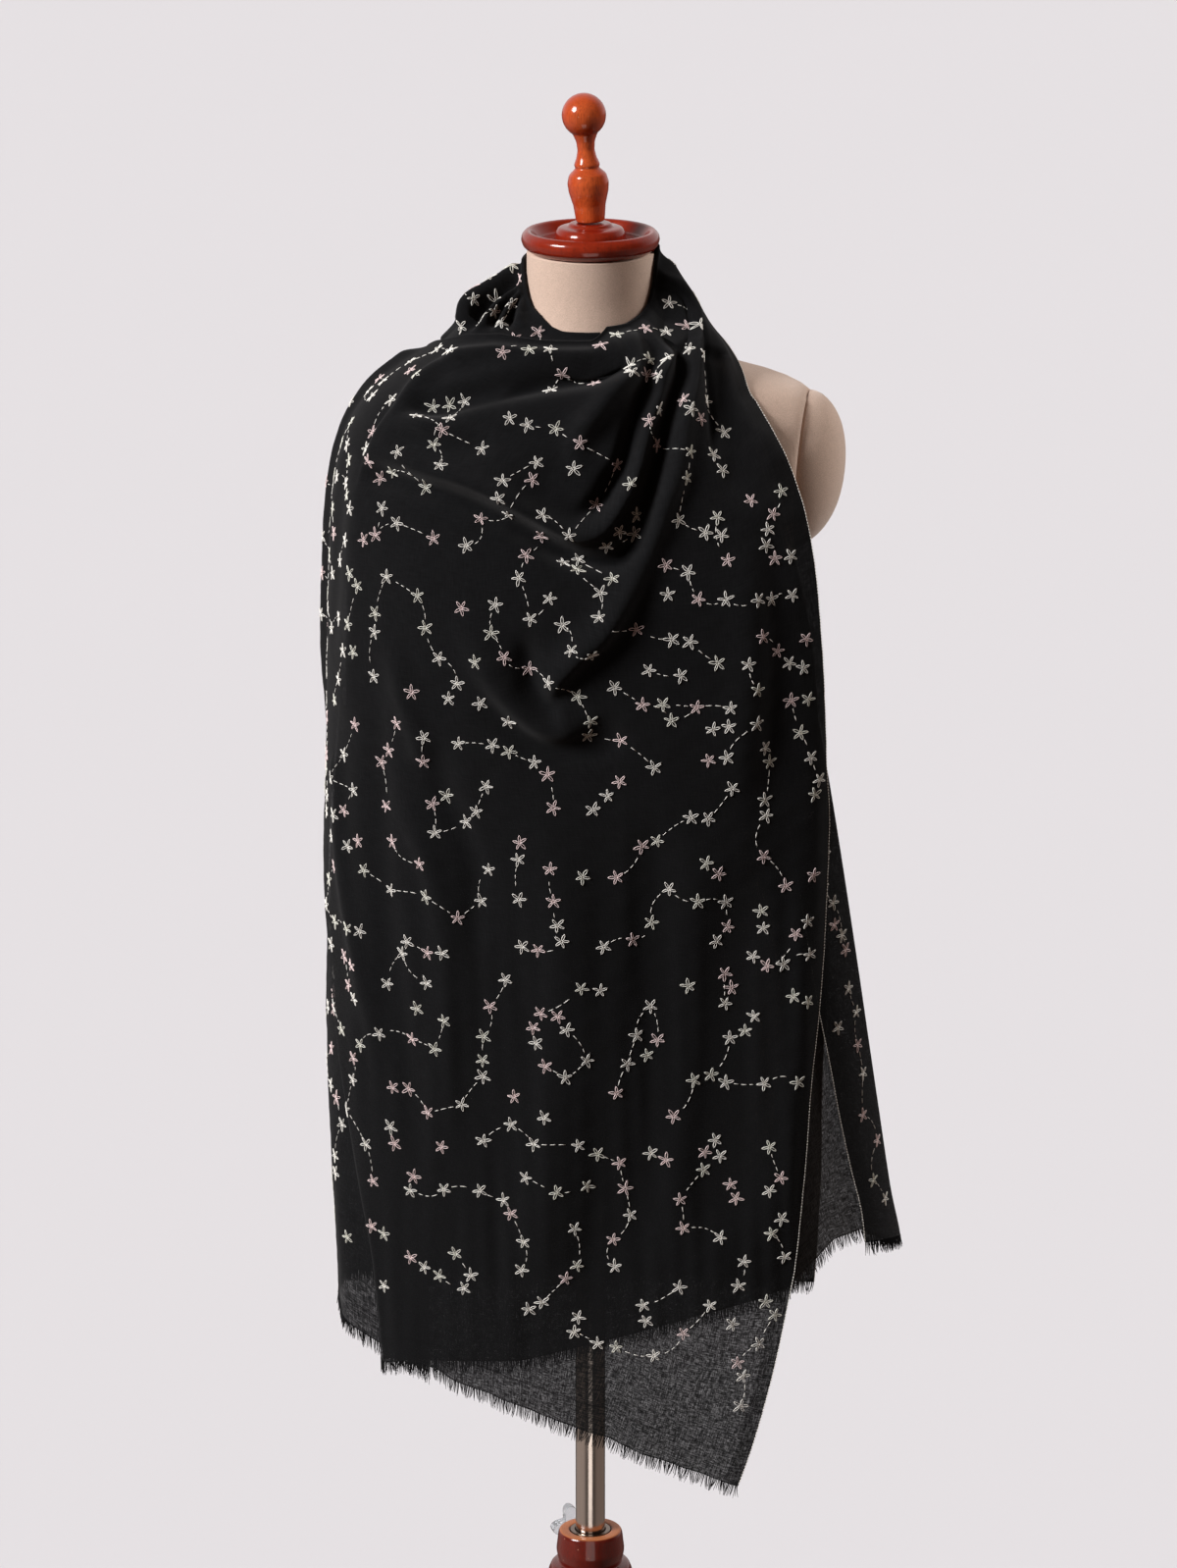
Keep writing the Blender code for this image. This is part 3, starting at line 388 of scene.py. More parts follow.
CREASES = rows(
    Crease,
    ("rim fold", ((-62, 1400), (-40, 1415), (-19, 1417), (2, 1415), (21, 1422), (38, 1430)), 9, 6.5, 2),
    ("first valley", ((-58, 1366), (-43, 1374), (-34, 1383), (-23, 1391), (-12, 1397), (0, 1402),
     (10, 1408), (24, 1417), (40, 1426)), 10, -12),
    ("loop ridge", ((-41, 1412), (-58, 1402), (-60, 1389), (-57, 1375), (-48, 1362), (-38, 1355),
     (-29, 1354)), 10, 4),
    ("second valley", ((-54, 1349), (-39, 1344), (-28, 1342), (-19, 1348)), 11, -3),
    ("roll", ((82, 1468), (65, 1443), (42, 1422), (27, 1404), (19, 1385), (13, 1365), (9, 1343), (6, 1321),
     (3, 1301), (1, 1287), (-1, 1281), (-5, 1289), (-10, 1300), (-18, 1313), (-27, 1321), (-38, 1325),
     (-49, 1328), (-62, 1328)), 8, 7.5, 3),
    ("broad roll", ((-62, 1345), (-40, 1338), (-20, 1326), (-6, 1312)), 26, 5),
    ("undercut", ((-62, 1312), (-47, 1315), (-35, 1311), (-25, 1304), (-16, 1292), (-9, 1279), (-4, 1268),
     (0, 1260), (4, 1262)), 11, -8),
    ("gather ridge", ((84, 1474), (69, 1453), (56, 1436), (30, 1420), (14, 1404), (5, 1386), (0, 1367),
     (-2, 1347), (-2, 1321)), 11, 8, 1),
    ("deep valley", ((78, 1462), (66, 1446), (56, 1433), (28, 1412), (19, 1392), (13, 1374), (9, 1355),
     (6, 1336), (3, 1320), (1, 1305), (-1, 1296), (-6, 1304)), 7.5, -11),
    ("valley before the wide ridge", ((84, 1472), (74, 1457), (63, 1436), (47, 1418), (37, 1400),
     (28, 1384), (21, 1366), (16, 1346), (12, 1327), (9, 1306), (7, 1285), (5, 1268), (2, 1257), (-4, 1264),
     (-9, 1276), (-16, 1290)), 7.5, -10),
    ("wide ridge", ((88, 1460), (78, 1450), (57, 1423), (40, 1398), (27, 1371), (20, 1346), (15, 1320),
     (11, 1298), (8, 1276), (6, 1254), (4, 1233), (2, 1213), (0, 1194), (-2, 1179), (-4, 1165), (-5, 1152),
     (-4, 1142)), 11, 6.5, 1),
    ("outer line", ((85, 1447), (65, 1421), (54, 1402), (43, 1382), (33, 1355), (26, 1326)), 4, -2.5),
    ("outer valley", ((66, 1410), (52, 1392), (40, 1366), (33, 1330), (30, 1290)), 14, -3),
    ("shoulder edge ridge", ((94, 1426), (78, 1412), (62, 1388), (50, 1352), (45, 1310)), 13, 3),
    ("low roll", ((-23, 1226), (-20, 1195), (-16, 1168), (-12, 1146), (-8, 1130), (-4, 1123), (-1, 1127),
     (1, 1141)), 14, 6, 2),
    ("wide ridge's foot", ((6, 1250), (4, 1233), (2, 1213), (0, 1194), (-2, 1179), (-4, 1165), (-5, 1152),
     (-4, 1142), (-2, 1136), (2, 1138)), 9, 3.5, 1),
    ("low valley", ((-10, 1205), (-9, 1181), (-8, 1157), (-5, 1140), (-3, 1136)), 10, -5),
    ("below the low roll", ((-20, 1158), (-13, 1128), (-6, 1107), (0, 1108), (4, 1126)), 14, -4),
    ("right band", ((29, 1288), (28, 1234), (28, 1185), (26, 1120), (25, 1040)), 20, 3),
    ("right dark", ((36, 1290), (34, 1240), (34, 1185), (34, 1110), (33, 1040)), 14, -2),
    ("selvedge hang", ((44, 1230), (45, 1100), (42, 950), (37, 780), (31, 640)), 18, 3),
    ("right hang", ((24, 1010), (22, 900), (20, 780), (17, 660)), 26, -7),
    ("middle hang", ((-6, 1075), (-4, 960), (-3, 850), (-6, 700), (-8, 600)), 28, 6),
    ("middle trough", ((8, 1060), (9, 940), (8, 800), (5, 650)), 20, -5),
    ("pleat", ((-29, 1115), (-28, 1070), (-23, 1030), (-20, 991), (-20, 900)), 11, -4),
    ("left streak", ((-70, 1080), (-67, 1026), (-62, 970), (-55, 908), (-48, 820)), 11, 3),
    ("left short ridge", ((-44, 1190), (-39, 1143), (-35, 1110), (-33, 1080)), 11, 3),
    ("left long ridge", ((-41, 1092), (-36, 1038), (-31, 1003), (-27, 953), (-26, 860),
     (-27, 740)), 13, 3.5),
    ("left trough", ((-50, 1190), (-48, 1080), (-46, 980), (-40, 860), (-36, 720)), 14, -3.5),
    ("left upper hang", ((-62, 1310), (-60, 1240), (-62, 1160), (-66, 1100)), 17, 1.5),
    ("left upper trough", ((-74, 1330), (-72, 1240), (-76, 1150)), 16, -1.5),
    # from the gather behind the neck, and over the left shoulder
    ("nape ridge", ((-268, 1476), (-240, 1470), (-205, 1463), (-170, 1460), (-140, 1455), (-116, 1443),
     (-104, 1420)), 8, 6, 2),
    ("nape valley", ((-266, 1462), (-236, 1456), (-205, 1448), (-172, 1444), (-142, 1438),
     (-122, 1424)), 7, -5),
    ("back ridge one", ((-264, 1448), (-236, 1440), (-212, 1426), (-190, 1405), (-176, 1370), (-168, 1310),
     (-164, 1230), (-163, 1130)), 12, 9, 3),
    ("back valley one", ((-232, 1424), (-210, 1408), (-198, 1380), (-190, 1330), (-186, 1250),
     (-184, 1150)), 11, -7),
    ("back ridge two", ((-262, 1426), (-238, 1420), (-220, 1404), (-208, 1378), (-202, 1330), (-200, 1260),
     (-201, 1160), (-204, 1040)), 10, 6, 2),
    ("back ridge three", ((-196, 1446), (-172, 1430), (-156, 1405), (-147, 1360), (-143, 1290),
     (-142, 1200), (-143, 1080)), 12, 8, 3),
    ("back valley two", ((-176, 1420), (-164, 1398), (-157, 1355), (-153, 1290), (-152, 1200),
     (-152, 1090)), 10, -7),
    ("back ridge four", ((-160, 1446), (-140, 1428), (-128, 1400), (-122, 1350), (-120, 1270), (-121, 1170),
     (-123, 1040)), 12, 8, 3),
    ("back valley three", ((-146, 1425), (-136, 1398), (-131, 1345), (-130, 1260), (-131, 1160)), 10, -7),
    ("side ridge", ((-128, 1448), (-112, 1420), (-106, 1380), (-104, 1320), (-102, 1230), (-100, 1120),
     (-98, 1010)), 11, 7, 2),
    ("side valley", ((-118, 1408), (-112, 1360), (-111, 1290), (-110, 1190), (-109, 1090)), 10, -5),
)

# beside the neck the crests are given by turn and by the share of the way from the rim to the foot
NECK_PLEATS = rows(
    Crease,
    ("lobe", ((-98, 0.1), (-88, 0.22), (-81, 0.33), (-78, 0.48), (-78, 0.7), (-80, 1)), 8, 4),
    ("opening under the lobe", ((-86, 0.08), (-81, 0.16), (-77, 0.23), (-72, 0.3), (-67, 0.43),
     (-68, 0.62), (-70, 1)), 6, -6.5),
    ("first narrow ridge", ((-79, 0.1), (-71, 0.23), (-66, 0.32), (-61, 0.45), (-60, 0.7),
     (-61, 1)), 4, 4),
    ("first narrow valley", ((-76, 0.09), (-72, 0.16), (-66, 0.25), (-58, 0.39), (-50, 0.57),
     (-49, 1)), 3, -3.5),
    ("second narrow ridge", ((-73, 0.09), (-69, 0.16), (-63, 0.25), (-56, 0.36), (-48, 0.52),
     (-45, 1)), 3, 3.5),
    ("second narrow valley", ((-72, 0.07), (-67, 0.14), (-57, 0.26), (-45, 0.45), (-41, 1)), 3, -3.5),
    ("ridge at the front of the neck", ((-84, 0.04), (-70, 0.09), (-56, 0.2), (-42, 0.38),
     (-36, 1)), 5, 3),
)


class HeightCurve:
    """A size that changes with height, read along a curve that never overshoots its rows."""

    def __init__(self, heights: Sequence[float], values: Sequence[float]) -> None:
        """Takes the rows in any order of height.

        Args:
            heights: height of each row.
            values: the size at each of them.
        """
        order = np.argsort(heights)
        self.z = np.asarray(heights, float)[order]
        self.value = np.asarray(values, float)[order]
        run = np.diff(self.value) / np.diff(self.z)
        before, after = run[:-1], run[1:]
        product = before * after
        inner = np.where(product > 0, 2 * product / np.where(product > 0, before + after, 1), 0.0)
        self.slope = np.concatenate([[run[0]], inner, [run[-1]]])

    def at(self, z: Array) -> Array:
        """Reads the size at given heights.

        Args:
            z: heights.

        Returns:
            The size at each.
        """
        z = np.clip(z, self.z[0], self.z[-1])
        low = np.clip(np.searchsorted(self.z, z, side="right") - 1, 0, len(self.z) - 2)
        span = self.z[low + 1] - self.z[low]
        t = (z - self.z[low]) / span
        return (
            self.value[low] * (1 + 2 * t) * (1 - t) ** 2
            + self.value[low + 1] * t * t * (3 - 2 * t)
            + self.slope[low] * span * t * (1 - t) ** 2
            + self.slope[low + 1] * span * t * t * (t - 1)
        )


def edge(table: Sequence, name: str) -> HeightCurve:
    """Makes a curve of one column of a table that has heights."""
    return HeightCurve([row.z for row in table], [getattr(row, name) for row in table])


class Hull:
    """A body of superellipse cross-sections, addressed by turn and height."""

    def __init__(self, table: Sequence[Girth]) -> None:
        """Reads a table of cross-sections."""
        self.size = {name: edge(table, name) for name in Girth._fields[1:]}

    def section(self, turn: Array, z: Array, inset: Array | float = 0.0) -> Array:
        """Finds points of the cross-sections.

        Args:
            turn: turns.
            z: heights.
            inset: how far in from the surface.

        Returns:
            A point for each, in the last axis.
        """
        turn, z, inset = np.broadcast_arrays(turn, z, inset)
        angle = np.radians(turn)
        sine, cosine = np.sin(angle), np.cos(angle)
        width = np.where(sine > 0, self.size["right"].at(z), self.size["left"].at(z)) - inset
        depth = np.where(cosine > 0, self.size["front"].at(z), self.size["back"].at(z)) - inset
        bend = 2 / self.size["power"].at(z)
        x = np.sign(sine) * width * np.abs(sine) ** bend
        y = -np.sign(cosine) * depth * np.abs(cosine) ** bend
        return np.stack([x, y, np.asarray(z, float)], axis=-1)

    def turn_at(self, x: Array, z: Array, inset: float = 0.0) -> Array:
        """Finds the turn, on the front half, of points that lie x from the middle.

        Args:
            x: distances from the middle.
            z: heights.
            inset: how far in from the surface.

        Returns:
            A turn for each.
        """
        width = np.where(x > 0, self.size["right"].at(z), self.size["left"].at(z)) - inset
        share = np.minimum(1.0, np.abs(x) / width)
        return np.sign(x) * np.degrees(np.arcsin(share ** (self.size["power"].at(z) / 2)))

    def outward(self, turn: Array, z: Array) -> Array:
        """Finds the level directions that are square to the cross-sections."""
        round_it = self.section(turn + 1.0, z) - self.section(turn - 1.0, z)
        return unit(np.stack([round_it[..., 1], -round_it[..., 0], np.zeros_like(round_it[..., 0])], axis=-1))


HULL = Hull(DRAPE)
TORSO = Hull(FORM)


def along(table: Sequence, key: str, place: Array, name: str) -> Array:
    """Reads one column of a table along straight lines, at places given in another that rises."""
    return np.interp(place, [getattr(row, key) for row in table], [getattr(row, name) for row in table])


FOLD_TURN = edge(FRONT_FOLD, "turn")
SELVEDGE_X = edge(FRONT_SELVEDGE, "x")
INNER_FOLD_X = edge(INNER_FOLD, "x")
INNER_SELVEDGE_X = edge(INNER_SELVEDGE, "x")
SHOULDER_FRONT_TURN = edge(SHOULDER_FRONT_EDGE, "turn")
SHOULDER_BACK_TURN = edge(SHOULDER_BACK_EDGE, "turn")


class CreaseField:
    """The relief that all the creases give to the cloth."""

    STRENGTH = 1.65
    REACH = 2.6  # in half widths
    AT_GATHER = 55  # a crest that starts beyond this turn comes from the gather, where it fades later

    def __init__(self, creases: Sequence[Crease], lay: Callable[[Array, Array], Array]) -> None:
        """Lays every crest on a surface."""
        self.lines = [(crease, lay(*curve_through(crease.crest).T)) for crease in creases]

    def relief(self, points: Array) -> tuple[Array, Array]:
        """Measures how far the cloth stands proud, and how far it hangs down, at given places.

        Args:
            points: places on the smooth drape, one row each.

        Returns:
            The height of the relief and its drop, for each place.
        """
        proud, drop = np.zeros(len(points)), np.zeros(len(points))
        for crease, line in self.lines:
            reach = self.REACH * crease.half_width
            near = np.all((points > line.min(0) - reach) & (points < line.max(0) + reach), axis=1)
            if not near.any():
                continue
            best = np.full(near.sum(), reach)
            where = np.zeros(near.sum())
            for i, (a, b) in enumerate(zip(line, line[1:])):
                step = b - a
                t = np.clip((points[near] - a) @ step / max(step @ step, 1e-9), 0, 1)
                distance = norm(points[near] - a - t[:, None] * step, axis=1)
                closer = distance < best
                best[closer] = distance[closer]
                where[closer] = (i + t[closer]) / (len(line) - 1)
            start_fade = 0.1 if abs(crease.crest[0][0]) > self.AT_GATHER else 0.3
            ends = ease(where / start_fade) * ease((1 - where) / 0.25)
            shape = ends * np.exp(-((best / crease.half_width) ** 2)) * (best < reach)
            proud[near] += crease.height * shape
            drop[near] += crease.drop * shape
        return self.STRENGTH * proud, self.STRENGTH * drop

    def on_grid(self, points: Array) -> tuple[Array, Array]:
        """Measures the relief and its drop on a grid of places."""
        proud, drop = self.relief(points.reshape(-1, 3))
        return proud.reshape(points.shape[:-1]), drop.reshape(points.shape[:-1])


RELIEF = CreaseField(CREASES, HULL.section)


def soft_noise(seed: int, *axes: Array) -> Array:
    """Adds up slow waves in several directions, for the unevenness of hand-laid cloth.

    Args:
        seed: fixes the waves.
        axes: coordinates, each scaled so that one unit is about one wave.

    Returns:
        Heights between about -1 and 1.
    """
    chance = np.random.default_rng(seed)
    total = np.zeros_like(np.asarray(axes[0], float))
    for octave in range(3):
        for _ in range(3):
            lean = chance.normal(size=len(axes)) * 2**octave
            phase = chance.uniform(0, 2 * math.pi)
            total += np.sin(2 * math.pi * sum(k * a for k, a in zip(lean, axes)) + phase) / 2**octave
    return total / 3.5


def fall_turn(z: Array, share: Array, right_turn: Callable[[Array], Array]) -> Array:
    """Finds the turn a share of the way from the lengthwise fold to a right edge."""
    left = FOLD_TURN.at(z)
    return left + (right_turn(z) - left) * share


def hem_height(
    hem: Sequence[Across], share: Array, right_turn: Callable[[Array], Array], inset: float
) -> Array:
    """Finds the height at which a front hem crosses each line of equal share.

    Args:
        hem: the hem's table.
        share: shares of the way across.
        right_turn: the right edge's turn at a height.
        inset: the layer.

    Returns:
        A height for each share.
    """
    z = np.full_like(share, hem[0].z)
    for _ in range(HEM_STEPS):
        x = HULL.section(fall_turn(z, share, right_turn), z, inset)[..., 0]
        z = along(hem, "x", x, "z")
    return z


def hugged(points: Array, turn: Array, hug: Array, below_rim: Array) -> Array:
    """Draws points in against the neck, fully at the rim and not at all some way below it.

    Args:
        points: the points.
        turn: their turns.
        hug: how far each rim is drawn in.
        below_rim: how far each point is below its rim.

    Returns:
        The moved points.
    """
    share = (hug * (1 - ease(below_rim / HUG_DEPTH)))[..., None]
    angle = np.radians(turn)
    x, y = NECK_HUG_RADIUS * np.sin(angle), -NECK_HUG_RADIUS * np.cos(angle)
    return points * (1 - share) + np.stack([x, y, points[..., 2]], axis=-1) * share


def shoulder_inset(turn: Array, z: Array) -> Array:
    """Finds how far the shoulder fall lies inside the drape: deep under the front fall, less elsewhere.

    Args:
        turn: turns.
        z: heights.

    Returns:
        An inset for each.
    """
    covered = ease((turn - FOLD_TURN.at(z) + COVER_BAND) / COVER_BAND)
    on_cap = ON_CAP_HEIGHT.at(z) * ON_CAP_TURN.at(turn)
    deep = SHOULDER_LAYER + (SHOULDER_LAYER_ON_CAP - SHOULDER_LAYER) * on_cap
    return OPEN_LAYER + (deep - OPEN_LAYER) * covered


# ---- finishes


class ThreadShade(Enum):
    """The embroidery's thread colours."""

    IVORY = "fdf8ee"
    ROSE = "f9e0dc"
    SAGE = "f3f0e2"


@dataclass(frozen=True)
class Finish:
    """What every finish has in common.

    Args:
        name: the real material.
        colour: its main colour.
    """

    name: str
    colour: str

    def make(self) -> Material:
        """Makes the material.

        Returns:
            The finished material.
        """
        made = bpy.data.materials.new(self.name)
        made.use_nodes = True
        made.node_tree.nodes.clear()
        add = partial(add_node, made.node_tree)
        add("OutputMaterial", {"Surface": self.shader(add)})
        return made

    def shader(self, add: Adder) -> Node:
        """Wires the shader."""
        raise NotImplementedError(self.name)


@dataclass(frozen=True)
class PashminaWool(Finish):
    """Fine hand-woven wool: matt, a little hairy, with uneven yarns that let light through.

    Args:
        yarn_mm: spacing of the yarns; the real ones are about 0.35 mm, drawn coarser to show.
        slub_mm: length over which a yarn's thickness changes.
        grain_mm: width of the gaps between uneven yarns, drawn wider than the real 0.3 mm.
        nap_mm: width of the patches where the hairy surface is worn smooth.
        sheerness: share of the light that one layer lets through.
        grey: how much of the undyed yarn shows on this side, from 0 to 1.
    """

    yarn_mm: float = 0.8
    slub_mm: float = 12.0
    grain_mm: float = 1.1
    nap_mm: float = 14.0
    sheerness: float = 0.063
    grey: float = 0.0

    def crossed(self, add: Adder, cloth: Node, width: float, length: float) -> Node:
        """Adds noise drawn out along the warp to noise drawn out along the weft.

        Args:
            add: adds a node.
            cloth: the cloth's own coordinates, in metres.
            width: width of one streak, in millimetres.
            length: its length.

        Returns:
            Their sum, which is about one.
        """
        streaks = []
        for across, down in ((width, length), (length, width)):
            mapped = add("Mapping", {"Vector": cloth, "Scale": (1 / (across * MM), 1 / (down * MM), 1.0)})
            noise = {"Vector": mapped, "Scale": 1.0, "Detail": 2.0}
            streaks.append(add("TexNoise", noise, noise_dimensions="2D"))
        return add("Math", dict(enumerate(streaks)), operation="ADD")

    def shader(self, add: Adder) -> Node:
        """Wires the shader.

        Args:
            add: adds a node.

        Returns:
            The shader's node.
        """
        cloth = add("UVMap", {}, uv_map="cloth")
        weave = self.crossed(add, cloth, self.yarn_mm, self.slub_mm)
        scale = 1 / (self.nap_mm * MM)
        nap = add("TexNoise", {"Vector": cloth, "Scale": scale, "Detail": 3.0}, noise_dimensions="2D")
        from_selvedge, from_hem, _ = add("SeparateXYZ", {"Vector": cloth}).outputs
        # a denser margin along the selvedge and one dark pick a little above the hem
        margin = add("MapRange", {0: from_selvedge, 1: 0.0165, 2: 0.0185, 3: 1.0, 4: 0.0})
        pick_gap = add("Math", {0: from_hem, 1: 0.023}, operation="SUBTRACT")
        pick_off = add("Math", {0: pick_gap}, operation="ABSOLUTE")
        pick = add("MapRange", {0: pick_off, 1: 0.0006, 2: 0.0013, 3: 1.0, 4: 0.0})
        dense = add("Math", {0: margin, 1: pick}, operation="MAXIMUM")
        shade = add("MapRange", {0: weave, 1: 0.7, 2: 1.3})
        mixed = add("Mix", {0: shade, 6: linear(self.colour), 7: linear("131314")})
        if self.grey:
            undyed = add("Math", {0: shade, 1: self.grey}, operation="MULTIPLY")
            mixed = add("Mix", {0: undyed, 6: mixed, 7: linear("56524f")})
        worn = add("MapRange", {0: nap, 1: 0.35, 2: 0.65, 3: 0.95, 4: 1.05})
        margin_tone = add("MapRange", {0: dense, 3: 1.0, 4: 0.78})
        tone = add("Math", {0: worn, 1: margin_tone}, operation="MULTIPLY")
        wool = add("BsdfPrincipled", {
            "Base Color": add("VectorMath", {0: mixed, "Scale": tone}, operation="SCALE"),
            "Roughness": 0.95, "IOR": 1.54, "Specular IOR Level": 0.06, "Sheen Weight": 0.06,
            "Sheen Roughness": 0.55, "Sheen Tint": (0.9, 0.87, 0.86, 1.0),
            "Normal": add("Bump", {"Height": weave, "Strength": 0.15, "Distance": 0.0004}),
        })
        least, most = self.sheerness * 0.3, self.sheerness * 1.9
        holes = add("MapRange", {0: weave, 1: 0.92, 2: 1.2, 3: least, 4: most})
        closed = add("MapRange", {0: dense, 3: 1.0, 4: 0.55})
        # gathers at the top hold several thicknesses of cloth, so it closes up
        gathers = add("MapRange", {0: from_hem, 1: 0.3, 2: 0.6, 3: 1.0, 4: 0.1})
        open_cloth = add("Math", {0: closed, 1: gathers}, operation="MULTIPLY")
        grain = self.crossed(add, cloth, self.grain_mm, self.grain_mm * 4)
        gap = add("MapRange", {0: grain, 1: 0.78, 2: 1.22, 3: 0.2, 4: 1.8})
        open_gaps = add("Math", {0: open_cloth, 1: gap}, operation="MULTIPLY")
        through = add("Math", {0: holes, 1: open_gaps}, operation="MULTIPLY")
        return add("MixShader", {0: through, 1: wool, 2: add("BsdfTransparent", {"Color": linear("ffffff")})})


@dataclass(frozen=True)
class StrandedThread(Finish):
    """Stranded cotton: soft, a little lustrous, twisted.

    Args:
        twist_mm: length of one twist of its strands.
    """

    twist_mm: float = 1.1

    def shader(self, add: Adder) -> Node:
        """Wires the shader.

        Args:
            add: adds a node.

        Returns:
            The shader's node.
        """
        place = add("TexCoord", {}).outputs["Object"]
        strands = add("TexNoise", {"Vector": place, "Scale": 1 / (self.twist_mm * MM), "Detail": 2.0})
        base = linear(self.colour)
        return add("BsdfPrincipled", {
            "Base Color": add("Mix", {0: strands, 6: toned(base, 0.85), 7: base}), "Roughness": 0.62,
            "Sheen Weight": 0.25, "Sheen Roughness": 0.4,
            "Normal": add("Bump", {"Height": strands, "Strength": 0.5, "Distance": 0.0003}),
        })


@dataclass(frozen=True)
class CottonVelvet(Finish):
    """Short-pile velvet over padding: matt, with pile that lightens at a glance along it.

    Args:
        pile_mm: width of the pile's soft patches.
        tuft_mm: width of one tuft.
    """

    pile_mm: float = 7.0
    tuft_mm: float = 0.7

    def shader(self, add: Adder) -> Node:
        """Wires the shader.

        Args:
            add: adds a node.

        Returns:
            The shader's node.
        """
        place = add("TexCoord", {}).outputs["Object"]
        patches = add("TexNoise", {"Vector": place, "Scale": 1 / (self.pile_mm * MM), "Detail": 4.0})
        tufts = add("TexNoise", {"Vector": place, "Scale": 1 / (self.tuft_mm * MM), "Detail": 2.0})
        base = linear(self.colour)
        tone = add("Mix", {0: patches, 6: base, 7: toned(base, 1.14)})
        tuft_tone = add("MapRange", {0: tufts, 1: 0.3, 2: 0.7, 3: 0.80, 4: 1.08})
        height = add("Math", {0: patches, 1: tufts}, operation="ADD")
        return add("BsdfPrincipled", {
            "Base Color": add("VectorMath", {0: tone, "Scale": tuft_tone}, operation="SCALE"),
            "Roughness": 0.9, "Specular IOR Level": 0.2, "Sheen Weight": 0.35, "Sheen Roughness": 0.35,
            "Sheen Tint": (1.0, 0.93, 0.88, 1.0),
            "Normal": add("Bump", {"Height": height, "Strength": 0.45, "Distance": 0.0005}),
        })


@dataclass(frozen=True)
class LacqueredMahogany(Finish):
    """Stained mahogany under glossy lacquer, with fine pores and a few worn specks.

    Args:
        grain_mm: width of one band of the grain.
        pore_mm: width of a pore.
        speck_mm: width of a speck where the stain has worn off.
        bare_above: height above which the turned wood was left bare.
    """

    grain_mm: float = 5.0
    pore_mm: float = 0.8
    speck_mm: float = 3.0
    bare_above: float = 2000.0

    DEPTH = (0.42, 0.16, 0.16)  # what the stained lacquer leaves of each channel seen slantwise; darkening the rims this much is partly painted shade
    COAT = 0.7
    WORN_WOOD = "b9937c"
    BARE_WOOD = "a3633f"
    STAIN_EDGE = 0.3  # half the width of the edge between stained and bare wood

    def shader(self, add: Adder) -> Node:
        """Wires the shader.

        Args:
            add: adds a node.

        Returns:
            The shader's node.
        """
        place = add("TexCoord", {}).outputs["Object"]
        # the grain stands upright: long in z, narrow across
        long = add("Mapping", {"Vector": place, "Scale": (1.0, 1.0, 0.12)})
        scale = 1 / (self.grain_mm * MM)
        bands = add("TexNoise", {"Vector": long, "Scale": scale, "Detail": 5.0, "Distortion": 0.6})
        pores = add("TexNoise", {"Vector": long, "Scale": 1 / (self.pore_mm * MM), "Detail": 2.0})
        specks = add("TexNoise", {"Vector": place, "Scale": 1 / (self.speck_mm * MM), "Detail": 1.0})
        base = linear(self.colour)
        tone = add("Mix", {0: bands, 6: toned(base, 0.55), 7: base})
        pore = add("MapRange", {0: pores, 1: 0.35, 2: 0.55, 3: 0.7, 4: 1.0})
        tone = add("VectorMath", {0: tone, "Scale": pore}, operation="SCALE")
        worn = add("MapRange", {0: specks, 1: 0.775, 2: 0.80})
        tone = add("Mix", {0: worn, 6: tone, 7: linear(self.WORN_WOOD)})
        # the lacquer is stained too, so it looks deeper where it is seen slantwise; part of this darkening
        # towards the rims is painted shade
        slant = add("LayerWeight", {"Blend": 0.5}).outputs["Facing"]
        tone = add("Mix", {0: slant, 6: tone, 7: toned(base, *self.DEPTH)})
        # the cup's top ring is bare wood
        height = add("SeparateXYZ", {"Vector": place}).outputs[2]
        low, high = ((self.bare_above + side * self.STAIN_EDGE) * MM for side in (-1, 1))
        bare = add("MapRange", {0: height, 1: low, 2: high})
        return add("BsdfPrincipled", {
            "Base Color": add("Mix", {0: bare, 6: tone, 7: linear(self.BARE_WOOD)}),
            "Roughness": add("MapRange", {0: pores, 1: 0.3, 2: 0.7, 3: 0.34, 4: 0.22}),
            "Specular IOR Level": 0.1, "Coat Weight": add("MapRange", {0: bare, 3: self.COAT, 4: 0.0}),
            "Coat Roughness": 0.1, "Coat Tint": linear("f4cbbd"),
            "Normal": add("Bump", {"Height": pores, "Strength": 0.08, "Distance": 0.0003}),
        })


@dataclass(frozen=True)
class ChromedSteel(Finish):
    """Drawn steel tube with dull chrome plating, faintly brushed along its length.

    Args:
        brush_mm: spacing of the brushing.
        smear_mm: width of the smears left by wiping.
    """

    brush_mm: float = 0.8
    smear_mm: float = 18.0

    def shader(self, add: Adder) -> Node:
        """Wires the shader.

        Args:
            add: adds a node.

        Returns:
            The shader's node.
        """
        place = add("TexCoord", {}).outputs["Object"]
        drawn = add("Mapping", {"Vector": place, "Scale": (1.0, 1.0, 0.02)})
        lines = add("TexNoise", {"Vector": drawn, "Scale": 1 / (self.brush_mm * MM), "Detail": 3.0})
        smears = add("TexNoise", {"Vector": place, "Scale": 1 / (self.smear_mm * MM), "Detail": 3.0})
        base = linear(self.colour)
        return add("BsdfPrincipled", {
            "Base Color": add("Mix", {0: lines, 6: toned(base, 0.82), 7: base}), "Metallic": 1.0,
            "Roughness": add("MapRange", {0: smears, 1: 0.3, 2: 0.7, 3: 0.13, 4: 0.22}),
            "Normal": add("Bump", {"Height": lines, "Strength": 0.1, "Distance": 0.0002}),
        })


